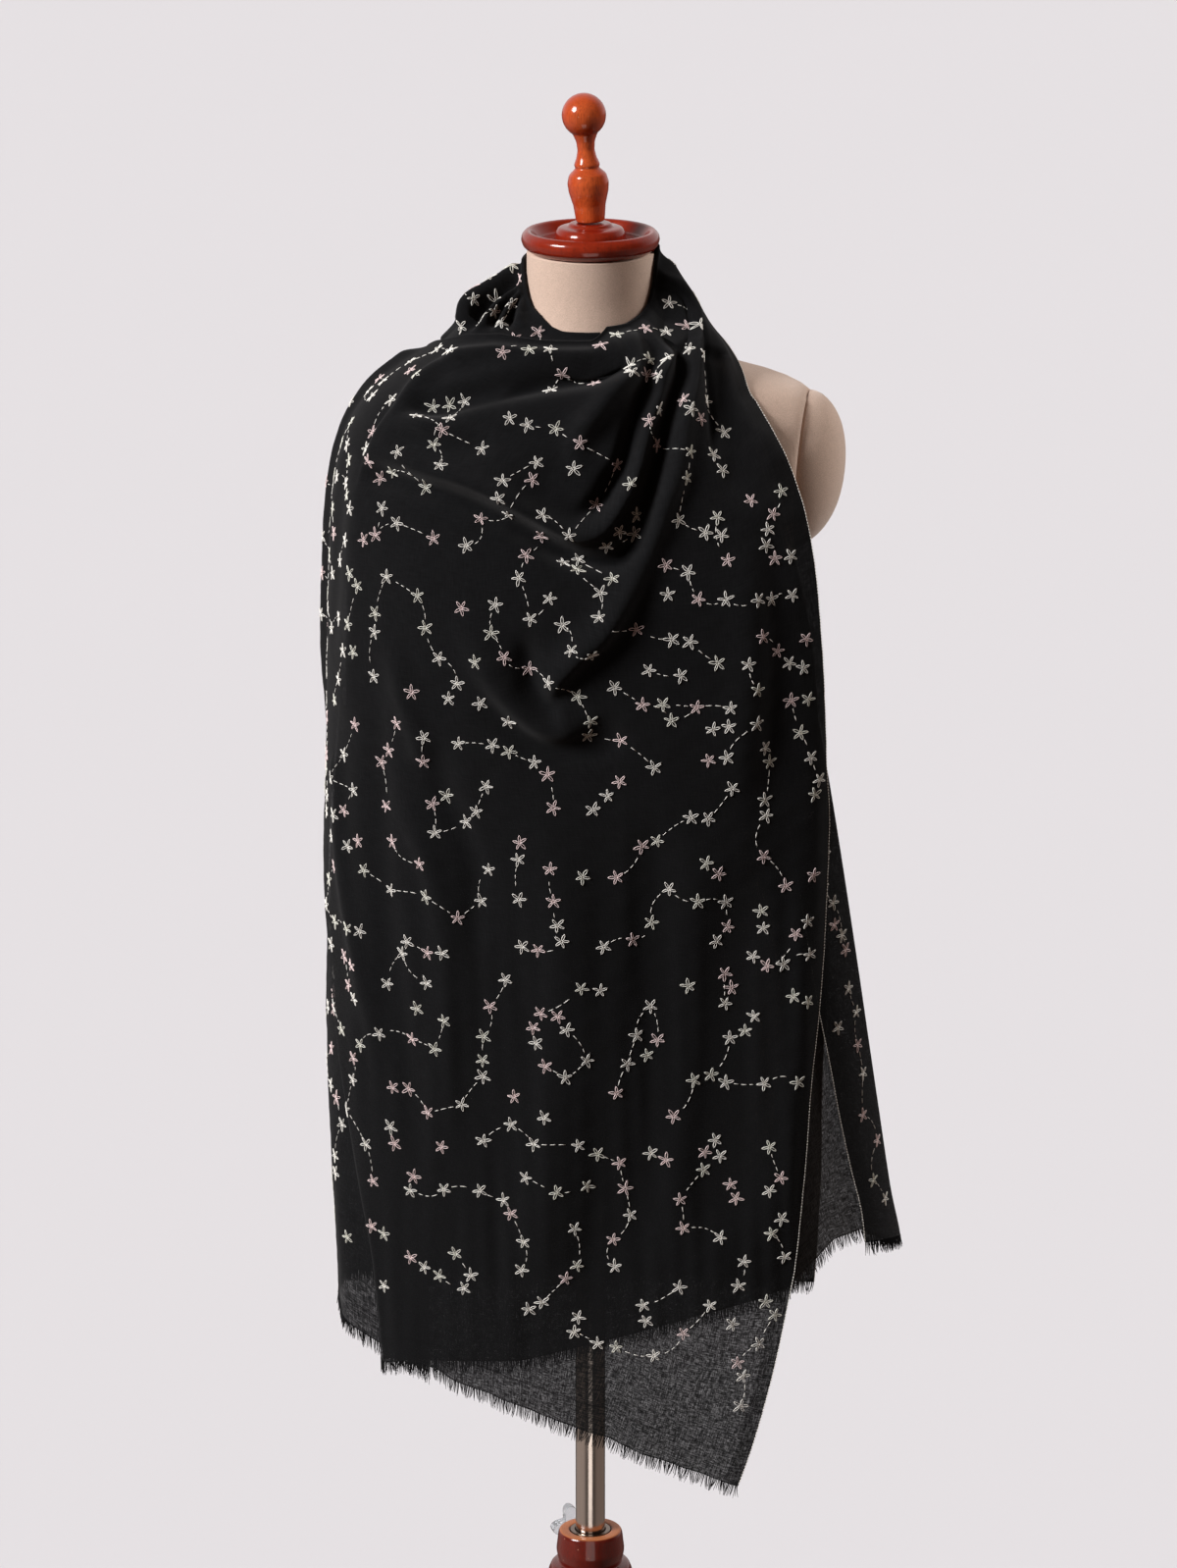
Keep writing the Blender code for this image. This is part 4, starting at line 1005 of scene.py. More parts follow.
@dataclass(frozen=True)
class MouldedAcrylic(Finish):
    """Clear moulded plastic with faint flow marks.

    Args:
        flow_mm: width of the flow marks.
    """

    flow_mm: float = 6.0

    def shader(self, add: Adder) -> Node:
        """Wires the shader.

        Args:
            add: adds a node.

        Returns:
            The shader's node.
        """
        place = add("TexCoord", {}).outputs["Object"]
        flow = add("TexNoise", {"Vector": place, "Scale": 1 / (self.flow_mm * MM), "Detail": 2.0})
        return add("BsdfPrincipled", {
            "Base Color": linear(self.colour),
            "Roughness": add("MapRange", {0: flow, 1: 0.3, 2: 0.7, 3: 0.05, 4: 0.14}), "IOR": 1.49,
            "Transmission Weight": 0.85,
            "Normal": add("Bump", {"Height": flow, "Strength": 0.1, "Distance": 0.0004}),
        })


@dataclass(frozen=True)
class PaintedFloor(Finish):
    """A plain pale painted floor."""

    def shader(self, add: Adder) -> Node:
        """Wires the shader.

        Args:
            add: adds a node.

        Returns:
            The shader's node.
        """
        place = add("TexCoord", {}).outputs["Object"]
        patches = add("TexNoise", {"Vector": place, "Scale": 0.8, "Detail": 3.0})
        base = linear(self.colour)
        tone = add("Mix", {0: patches, 6: base, 7: toned(base, 1.01)})
        return add("BsdfPrincipled", {"Base Color": tone, "Roughness": 0.95, "Specular IOR Level": 0.1})


WOOL = PashminaWool("black_pashmina_wool", "0b0b0c")
WOOL_OVER_SHOULDER = PashminaWool("black_pashmina_wool_single", "0b0b0c", sheerness=0.043)
WOOL_WRONG_SIDE = PashminaWool("pashmina_wool_wrong_side", "171616", sheerness=0.035, grey=0.4)
VELVET = CottonVelvet("beige_cotton_velvet", "c8ae9c")
FINIAL_MAHOGANY = LacqueredMahogany("polished_mahogany", "e4723c")
CAP_MAHOGANY = LacqueredMahogany("lacquered_mahogany", "a93b20")
# the stand's mahogany is made darker than the cap's as painted shade, for the collar that stands in the
# shawl's shade
STAND_MAHOGANY = LacqueredMahogany("dark_mahogany", "74291f", bare_above=360.2)
STEEL = ChromedSteel("chromed_steel", "cec2ba")
# the sleeve's steel is given a darker colour as painted shade of the gap inside the collar
DULL_STEEL = ChromedSteel("dull_steel", "7d6b5e")
ACRYLIC = MouldedAcrylic("clear_acrylic", "eef0f2")
FLOOR_PAINT = PaintedFloor("pale_floor_paint", "cecbcc")


# ---- cloth


class ClothMap:
    """A grid of the cloth's points, on which stitches are laid."""

    def __init__(self, points: Array, shown: Array) -> None:
        """Measures the grid.

        Args:
            points: rows by columns by three, in millimetres.
            shown: which of them can be seen.
        """
        self.points = points
        self.shown = shown
        self.across = np.gradient(points, axis=1)
        self.down = np.gradient(points, axis=0)
        self.normals = unit(np.cross(self.down, self.across))
        # the right side is the one that faces away from the form
        self.normals *= np.sign(np.median((self.normals[..., :2] * points[..., :2]).sum(-1)[shown]))
        self.rows, self.columns = points.shape[:2]

    def read(self, values: Array, i: Array, j: Array) -> Array:
        """Reads a grid of values between its points.

        Args:
            values: the grid.
            i: places across, in columns.
            j: places down, in rows.

        Returns:
            A value for each place.
        """
        i = np.clip(i, 0, self.columns - 1.001)
        j = np.clip(j, 0, self.rows - 1.001)
        a, b = i.astype(int), j.astype(int)
        s, t = (i - a)[..., None], (j - b)[..., None]
        top = values[b, a] * (1 - s) + values[b, a + 1] * s
        low = values[b + 1, a] * (1 - s) + values[b + 1, a + 1] * s
        return top * (1 - t) + low * t

    def point(self, i: float, j: float) -> Array:
        """Finds the cloth's point at one place in the grid."""
        return self.read(self.points, np.array(i), np.array(j))

    def steps(self, i: Array, j: Array, right: Array, down: Array) -> tuple[Array, Array]:
        """Turns distances on the cloth into steps of the grid.

        Args:
            i: places across, in columns.
            j: places down, in rows.
            right: distances to go across, in millimetres.
            down: distances to go down, square to those.

        Returns:
            Steps in columns and in rows.
        """
        pi, pj = self.read(self.across, i, j), self.read(self.down, i, j)
        e1 = unit(pi)
        e2 = unit(pj - (pj * e1).sum(-1, keepdims=True) * e1)
        a, b, c = (pi * e1).sum(-1), (pj * e1).sum(-1), (pj * e2).sum(-1)
        dj = down / np.maximum(c, 0.2)
        di = (right - b * dj) / np.maximum(a, 0.2)
        return di, dj

    def lay(self, i: Array, j: Array, height: float) -> tuple[Array, Array]:
        """Finds points a little above the cloth."""
        normals = unit(self.read(self.normals, i, j))
        return self.read(self.points, i, j) + normals * height, normals


def tubes(paths: Array, normals: Array, radius: Array, sides: int, closed: bool) -> tuple[Array, list]:
    """Sweeps a small round section along many paths of equal length.

    Args:
        paths: paths by points by three.
        normals: a direction square to each path, at each point.
        radius: a radius for each point of each path, or for all.
        sides: number of sides.
        closed: whether each path's ends meet.

    Returns:
        Points and faces.
    """
    count, length = paths.shape[:2]
    if closed:
        tangent = np.roll(paths, -1, axis=1) - np.roll(paths, 1, axis=1)
    else:
        tangent = np.gradient(paths, axis=1)
    side = unit(np.cross(tangent, normals))
    up = unit(np.cross(side, tangent))
    radius = np.broadcast_to(radius, (count, length))[..., None, None]
    angle = 2 * math.pi * np.arange(sides) / sides + math.pi / 2
    ring = side[:, :, None] * np.cos(angle)[:, None] + up[:, :, None] * np.sin(angle)[:, None]
    points = (paths[:, :, None] + ring * radius).reshape(-1, 3)
    start = np.arange(count)[:, None] * length * sides
    row = np.arange(length if closed else length - 1)[:, None]
    here, there = start[:, None] + row * sides, start[:, None] + (row + 1) % length * sides
    s = np.arange(sides)
    after = (s + 1) % sides
    faces = np.stack([here + s, here + after, there + after, there + s], axis=-1).reshape(-1, 4).tolist()
    if not closed:
        faces += (start + s[::-1]).tolist() + (start + (length - 1) * sides + s).tolist()
    return points, faces


def shares(columns: int, rows_down: int) -> tuple[Array, Array]:
    """Gives each point of a grid its share of the way across and of the way down."""
    return np.meshgrid(np.linspace(0, 1, columns + 1), np.linspace(0, 1, rows_down + 1))


@dataclass
class ClothStretch:
    """A stretch of the shawl, laid out as a grid of points.

    Args:
        name: the piece's name.
        columns: cells across.
        rows: cells down.
        lip_radius: radius at which an upper rim is rolled in.
        lip_rows: rows of the rolled rim.
        runs_left: whether its columns go from right to left.
    """

    name: str
    columns: int
    rows: int
    lip_radius: float = 1.6
    lip_rows: int = 6
    runs_left: bool = False

    LIP_HEM = 9.0  # length of the part that goes down inside
    LIP_DROP = 0.2
    BELOW_WELD = 900.0  # length of the cloth below the stretch round the neck

    def lip(self, top: Array, inward: Array) -> Array:
        """Rolls a rim in and down behind itself.

        Args:
            top: the rim's points.
            inward: a unit vector towards the inside, for each.

        Returns:
            Rows of points, from the hidden end up to just before the rim.
        """
        rolled = [top + inward * 2 * self.lip_radius - np.array([0, 0, self.LIP_HEM])]
        for step in range(1, self.lip_rows):
            angle = math.pi * (self.lip_rows - step) / self.lip_rows
            over = inward * self.lip_radius * (1 - math.cos(angle))
            rise = self.lip_radius * math.sin(angle) - self.LIP_DROP
            rolled.append(top + over + np.array([0, 0, rise]))
        return np.array(rolled)

    def sheet_object(
        self, blocks: Sequence[Array], weld: Sequence, finishes: Sequence, turned: Array | None = None
    ) -> Object:
        """Makes the sheet's mesh from one or two grids, with the cloth's own coordinates as its UV map.

        Args:
            blocks: grids of points; a second one goes on below the first.
            weld: columns of the first grid that the second one's top row is joined to.
            finishes: materials, the right side's first.
            turned: which cells of the first grid have the second material.

        Returns:
            The new object.
        """
        points, faces, cloth = [], [], []
        for number, block in enumerate(blocks):
            first = sum(len(p) for p in points)
            across = norm(np.diff(block, axis=1), axis=-1).mean(0)
            down = norm(np.diff(block, axis=0), axis=-1).mean(1)
            from_right, from_hem = (np.append(np.cumsum(cells[::-1])[::-1], 0) for cells in (across, down))
            if number == 0 and len(blocks) > 1:
                from_hem += self.BELOW_WELD
            cloth.append(np.stack(np.meshgrid(from_right, from_hem), axis=-1).reshape(-1, 2))
            points.append(block.reshape(-1, 3))
            faces += grid_faces(*block.shape[:2], first)
            if number:
                upper = (blocks[0].shape[0] - 1) * blocks[0].shape[1] + np.array(weld)
                lower = range(first, first + block.shape[1])
                faces += zip(upper.tolist(), lower, lower[1:], upper[1:].tolist())
        if self.runs_left:
            faces = [tuple(reversed(f)) for f in faces]
        made = mesh_object(self.name, np.concatenate(points), faces, finishes[0])
        for extra in finishes[1:]:
            made.data.materials.append(extra)
        spread_out(made.data, np.concatenate(cloth) * MM)
        if turned is not None:
            made.data.polygons.foreach_set("material_index", turned.ravel())
        return made


def stopped(out: Array, room: Array) -> Array:
    """Lets cloth sink softly no further than there is room behind it."""
    room = np.maximum(room, LEAST_ROOM)
    return np.where(out < 0, -room * np.tanh(-out / room), out)


@dataclass
class FrontFall(ClothStretch):
    """The outer layer in front, from the gather at the right of the neck down to its hem."""

    name: str = "front_fall_cloth"
    columns: int = 210
    rows: int = 330

    DEEPEST = 40.0  # that a fold can sink
    INNER_GAP = 2.6  # left over the inner layer
    INNER_FADE = 30.0
    DOUBLED_FADE = 60.0

    @staticmethod
    def right_turn(z: Array) -> Array:
        """Finds the turn of the right edge: the gather over the shoulder, then the selvedge.

        Args:
            z: heights.

        Returns:
            A turn for each.
        """
        top = FRONT_SELVEDGE[0].z
        held = np.minimum(z, top)
        low = HULL.turn_at(SELVEDGE_X.at(held), held)
        return low + (GATHER_TURN - low) * ease((z - top) / GATHER_RISE)

    def room(self, turn: Array, z: Array, share: Array) -> Array:
        """Finds how far the fall can sink before it meets the layer or the form behind it.

        Args:
            turn: turns.
            z: heights.
            share: shares of the way across.

        Returns:
            A depth for each.
        """
        form = norm(HULL.section(turn, z) - TORSO.section(turn, z), axis=-1)
        over_shoulder = ease((SHOULDER_FRONT_TURN.at(z) + COVER_FADE - turn) / COVER_FADE)
        free = np.minimum(self.DEEPEST, form - SMOOTHED_GAP)
        beside = np.minimum(free, shoulder_inset(turn, z) - CLOTH_GAP)
        deep = free + (beside - free) * over_shoulder
        over_inner = ease((np.interp(share, *zip(*INNER_RIM)) + self.INNER_FADE - z) / self.INNER_FADE)
        return deep + (np.minimum(deep, INNER_LAYER - self.INNER_GAP) - deep) * over_inner

    def surface(self) -> Array:
        """Lays the grid of points.

        Returns:
            Rows by columns by three, from the rim to the hem.
        """
        u, v = shares(self.columns, self.rows)
        rim_turn = self.rim_turn(u)
        rim, hug = (along(FRONT_RIM, "turn", rim_turn, column) for column in ("z", "hug"))
        hem = hem_height(FRONT_HEM, u[0], self.right_turn, 0.0)[None]
        z = rim + (hem - rim) * (0.45 * v + 0.55 * v * v)
        turn = fall_turn(z, u, self.right_turn)
        doubled = ease((INNER_RIM[0][1] + self.DOUBLED_FADE - z) / self.DOUBLED_FADE)
        points = HULL.section(turn, z, OUTER_EDGE_INSET * doubled * (1 - ease(u / FOLD_SHARE)))
        points = hugged(points, turn, hug, rim - z)
        x = points[..., 0]
        proud, drop = RELIEF.on_grid(HULL.section(turn, z))
        edge_fade = ease(u / 0.05) * ease(v / 0.03) * (1 - BUNCHED.at(z) * BUNCHED_SHARE.at(u))
        waves = 2.2 * soft_noise(11, x / 150, z / 900) + 1.0 * soft_noise(12, x / 60, z / 500)
        crumple = 0.4 * soft_noise(13, x / 60, z / 80)
        hem_wave = 2.0 * soft_noise(14, x / 110, z / 900) * FRONT_HEM_RIPPLES.at(z)
        near_form = norm((points - TORSO.section(turn, z))[..., :2], axis=-1) - CLOTH_GAP
        room = np.minimum(self.room(turn, z, u), near_form)
        out = stopped(edge_fade * (proud + FRONT_HANGS.at(z) * waves + crumple + hem_wave), room)
        points = points + ClothMap(points, np.ones(u.shape, bool)).normals * out[..., None]
        points[..., 2] -= edge_fade * drop
        return points

    @staticmethod
    def rim_turn(share: Array) -> Array:
        """Finds the turn of places on the rim, which runs from the fold to the gather."""
        return FRONT_RIM[0].turn + (GATHER_TURN - FRONT_RIM[0].turn) * share

    def grid(self) -> Array:
        """Gives the grid with its rolled rim.

        Returns:
            Rows by columns by three.
        """
        points = self.surface()
        inward = -HULL.outward(self.rim_turn(np.linspace(0, 1, self.columns + 1)), points[0, :, 2])
        return np.concatenate([self.lip(points[0], inward), points])


@dataclass
class InnerFall(ClothStretch):
    """The layer behind it, folded at the left, with the margin at its right turned forward."""

    name: str = "inner_fall_cloth"
    columns: int = 130
    rows: int = 120
    turn_columns: int = 8
    flap_columns: int = 26

    def surface(self) -> tuple[Array, Array]:
        """Lays the grid of points.

        Returns:
            Rows by columns by three, and which cells show the wrong side.
        """
        main = np.linspace(0, 1, self.columns + 1)
        bend = np.linspace(0, 1, self.turn_columns + 1)[1:]
        flap = np.linspace(0, 1, self.flap_columns + 1)[1:]
        share = np.concatenate([main, np.ones(len(bend) + len(flap))])
        turned = np.concatenate([np.zeros(len(main)), bend, np.ones(len(flap))])
        folded = np.concatenate([np.zeros(len(main) + len(bend)), flap])
        hem = hem_height(INNER_HEM, share, self.fold_turn, INNER_LAYER)
        hem = hem + (FLAP_HEM_AT_SELVEDGE - hem) * folded
        rim = np.interp(share, *zip(*INNER_RIM))
        v = np.linspace(0, 1, self.rows + 1)[:, None]
        z = rim + (hem - rim) * v
        selvedge = HULL.turn_at(INNER_SELVEDGE_X.at(z), z, FLAP_LAYER)
        turn = fall_turn(z, np.broadcast_to(share, z.shape), self.fold_turn)
        turn = turn + (selvedge - turn) * folded
        inset = INNER_LAYER - (INNER_LAYER - INNER_EDGE_INSET) * (1 - ease(share / FOLD_SHARE))
        # the margin turns over in a half round
        half = (1 - np.cos(math.pi * turned)) / 2
        inset = inset + (FLAP_LAYER - INNER_LAYER) * half
        bulge = (INNER_LAYER - FLAP_LAYER) / 2 * np.sin(math.pi * turned)
        points = HULL.section(turn, z, inset)
        sideways = HULL.section(turn + 0.5, z, inset) - HULL.section(turn - 0.5, z, inset)
        points = points + unit(sideways) * bulge[None, :, None]
        ripple = 1.2 * soft_noise(21, points[..., 0] / 120, z / 700) * ease(share / 0.1) * (1 - turned)
        points = points + HULL.outward(turn, z) * ripple[..., None]
        wrong = np.zeros((self.rows, len(share) - 1), int)
        wrong[:, : self.columns + self.turn_columns // 2] = 1
        return points, wrong

    @staticmethod
    def fold_turn(z: Array) -> Array:
        """Finds the turn of the edge at which the margin is turned forward."""
        return HULL.turn_at(INNER_FOLD_X.at(z), z, FLAP_LAYER)


@dataclass
class Wrap(ClothStretch):
    """The rest of the shawl: round the neck, over the left shoulder, down the side and the back."""

    name: str = "wrap_cloth"
    front_columns: int = 18
    columns: int = 210
    gather_columns: int = 96
    loop_rows: int = 44
    rows: int = 230
    runs_left: bool = True

    STARS_SHOW_FROM = 14.0  # this far down under the front rim a star still shows in part

    def turns(self) -> Array:
        """Lists the turn of each column of the stretch round the neck.

        Returns:
            Turns from under the front rim to the gather.
        """
        edges = SHOULDER_FRONT_TURN, SHOULDER_BACK_TURN
        first, last = (float(side.at(np.array(SHOULDER_TOP))) for side in edges)
        front = np.linspace(LOOP_RIM[-1].turn, first, self.front_columns + 1)[:-1]
        gather = np.linspace(last, LOOP_RIM[0].turn, self.gather_columns + 1)[1:]
        return np.concatenate([front, np.linspace(first, last, self.columns + 1), gather])

    @staticmethod
    def seen(turn: Array, z: Array) -> Array:
        """Finds how far the front fall leaves the cloth uncovered."""
        beside = ease((FOLD_TURN.at(z) - turn) / COVER_FADE)
        return np.maximum(beside, ease((z - along(FRONT_RIM, "turn", turn, "z")) / COVER_FADE))

    def pleated(self, loop: Array, line: Array, seen: Array) -> Array:
        """Presses the pleats beside the neck into the stretch round it.

        Args:
            loop: its points, rows by columns by three.
            line: the turn of each column.
            seen: how far each point is uncovered.

        Returns:
            The moved points.
        """
        smooth = ClothMap(loop, np.ones(loop.shape[:2], bool))

        def lay(turn: Array, share: Array) -> Array:
            """Finds places on the stretch by turn and by the share of the way down it."""
            column = np.interp(-turn, -line, np.arange(len(line)))
            return smooth.read(loop, column, share * self.loop_rows)

        proud, _ = CreaseField(NECK_PLEATS, lay).on_grid(loop)
        below_rim = ease(np.linspace(0, 1, self.loop_rows + 1) / 0.1)[:, None]
        level = (loop - TORSO.section(line[None, :], loop[..., 2]))[..., :2]
        room = norm(level, axis=-1) - CLOTH_GAP
        out = stopped(proud * seen * below_rim, room)
        return loop + smooth.normals * out[..., None]

    @staticmethod
    def settled(points: Array, turn: Array, out: Array, drop: Array) -> Array:
        """Moves points outward as far as they stand proud and down as far as they hang.

        Args:
            points: the points on the smooth drape.
            turn: their turns.
            out: how far they would stand proud, if there is room behind them to sink.
            drop: how far they hang down.

        Returns:
            The moved points.
        """
        z = points[..., 2]
        room = norm(points - TORSO.section(turn, z), axis=-1) - SMOOTHED_GAP
        moved = points + HULL.outward(turn, z) * stopped(out, room)[..., None]
        moved[..., 2] -= drop
        return moved

    def surface(self) -> tuple[Array, Array, Array, Array]:
        """Lays the two grids of points.

        Returns:
            The stretch round the neck and the fall below it, rows by columns by three, and which
            of each one's points are seen.
        """
        line = self.turns()
        turn, v = np.meshgrid(line, np.linspace(0, 1, self.loop_rows + 1))
        rim, foot = along(LOOP_RIM, "turn", turn, "z"), along(LOOP_FOOT, "turn", turn, "z")
        z = rim + (foot - rim) * v
        points = HULL.section(turn, z, shoulder_inset(turn, foot) * (1 - TOWARDS_GATHER.at(turn)))
        seen = self.seen(turn, z)
        proud, drop = RELIEF.on_grid(HULL.section(turn, z))
        tuck = 2.5 * TUCK.at(turn) + 5 * DEEPER_TUCK.at(turn)
        tuck = tuck + 7 * LOWER_HALF.at(v) * FOOT_TUCK.at(turn)
        shown = seen * (1 - 0.85 * PRESSED_BEHIND.at(turn))
        points = self.settled(points, turn, shown * proud - tuck, shown * drop)
        loop = self.pleated(hugged(points, turn, np.ones_like(turn), rim - z), line, seen)
        loop_seen = self.seen(turn, z + self.STARS_SHOW_FROM) > 0.3
        loop = np.concatenate([self.lip(loop[0], -HULL.outward(line, loop[0, :, 2])), loop])
        loop_seen = np.concatenate([np.zeros((self.lip_rows, len(line)), bool), loop_seen])

        u, v = (share[1:] for share in shares(self.columns, self.rows))
        hem_turn = SHOULDER_HEM[-1].turn + (SHOULDER_HEM[0].turn - SHOULDER_HEM[-1].turn) * u
        hem = along(SHOULDER_HEM, "turn", hem_turn, "z")
        top = along(LOOP_FOOT, "turn", line[self.front_columns :][: self.columns + 1], "z")[None]
        z = top + (hem - top) * (0.5 * v + 0.5 * v * v)
        left, right = SHOULDER_FRONT_TURN.at(z), SHOULDER_BACK_TURN.at(z)
        turn = left + (right - left) * u
        seen, grown = self.seen(turn, z), WAVES_GROW.at(z)
        waves = 6.0 * np.sin(np.radians(9 * turn + 20)) + 2.5 * np.sin(np.radians(17 * turn + 75))
        proud, drop = RELIEF.on_grid(HULL.section(turn, z))
        crumple = 0.6 * soft_noise(31, turn / 18, z / 70) + 1.6 * soft_noise(32, turn / 40, z / 600) * grown
        out = HANGS_FREE.at(turn) * grown * waves + seen * (proud + crumple)
        fall = self.settled(HULL.section(turn, z, shoulder_inset(turn, z)), turn, out, seen * drop)
        return loop, fall, loop_seen, seen > 0.6


@dataclass
class SelvedgeBeads:
    """The white stitches that bind a selvedge: short beads of thread along an edge.

    Args:
        name: the piece's name.
        pitch: distance from one bead to the next.
        bead: length of a bead.
        radius: half its thickness.
    """

    name: str
    pitch: float = 2.6
    bead: float = 1.9
    radius: float = 0.47

    def build(self, line: Array, finish: Material) -> Object:
        """Lays the beads along an edge.

        Args:
            line: the edge's points.
            finish: the thread's material.

        Returns:
            The new object.
        """
        lengths = lengths_along(line)
        starts = np.arange(1.0, lengths[-1] - self.bead, self.pitch)
        paths = np.array([read_along(line, lengths, np.linspace(a, a + self.bead, 3)) for a in starts])
        normals = np.repeat(paths[:, :1] * [1, 1, 0], 3, axis=1)
        swell = self.radius * np.array([0.7, 1.0, 0.7])
        return mesh_object(self.name, *tubes(paths, unit(normals), swell, 4, False), finish)


@dataclass
class ThreadFringe:
    """The warp's loose ends below a hem.

    Args:
        name: the piece's name.
        seed: fixes their unevenness.
        pitch: distance from one end to the next.
        length: their length.
        radius: half their thickness at the hem.
    """

    name: str
    seed: int
    pitch: float = 0.95
    length: float = 11.5
    radius: float = 0.42

    JITTER = 0.45
    SAG = 0.6
    LOCK_LEAN, LEAN, SWAY = 0.16, 0.09, 0.07  # as shares of the length
    TAPER = (1.0, 1.0, 0.85, 0.7, 0.35)

    def build(self, hem: Array, above: Array, finish: Material) -> Object:
        """Hangs the threads from a hem.

        Args:
            hem: the hem's points.
            above: the points a little above them.
            finish: the wool's material.

        Returns:
            The new object.
        """
        chance = np.random.default_rng(self.seed)
        lengths = lengths_along(hem)
        at = np.arange(0.6, lengths[-1] - 0.4, self.pitch)
        at = at + chance.uniform(-self.JITTER, self.JITTER, len(at))
        root, over = read_along(hem, lengths, at), read_along(above, lengths, at)
        down = unit(unit(root - over) + np.array([0, 0, -self.SAG]))
        sideways = unit(np.gradient(root, axis=0))
        out = unit(np.cross(sideways, down))
        reach = self.length * chance.uniform(0.72, 1.08, len(at))
        # neighbours lean together in small locks
        locks = self.LOCK_LEAN * np.sin(at / 2.1 + chance.uniform(0, 6))
        lean = locks + chance.normal(0, self.LEAN, len(at))
        sway = chance.normal(0, self.SWAY, len(at))
        t = np.linspace(-0.12, 1, len(self.TAPER))[None, :, None]
        bent = np.maximum(t, 0)
        paths = root[:, None] + down[:, None] * t * reach[:, None, None]
        paths = paths + sideways[:, None] * (lean * reach)[:, None, None] * bent**1.6
        paths = paths + out[:, None] * (sway * reach)[:, None, None] * bent**1.4
        thick = self.radius * np.array(self.TAPER)
        normals = np.repeat(out[:, None], len(thick), axis=1)
        made = mesh_object(self.name, *tubes(paths, normals, thick, 3, False), finish)
        # cloth coordinates away from the woven margin and pick
        places = np.empty(len(made.data.vertices) * 3)
        made.data.vertices.foreach_get("co", places)
        spread_out(made.data, places.reshape(-1, 3)[:, [0, 2]] + 1.0)
        return made


class Join(NamedTuple):
    """A line of running stitches that leaves a star: where from, and how far and how bent it goes."""

    i: float
    j: float
    right: float
    down: float
    bow: float


class ChainKind(NamedTuple):
    """A kind of chain of stars: its length, and its distance from others as a share of the spacing."""

    shortest: int
    longest: int
    apart: float


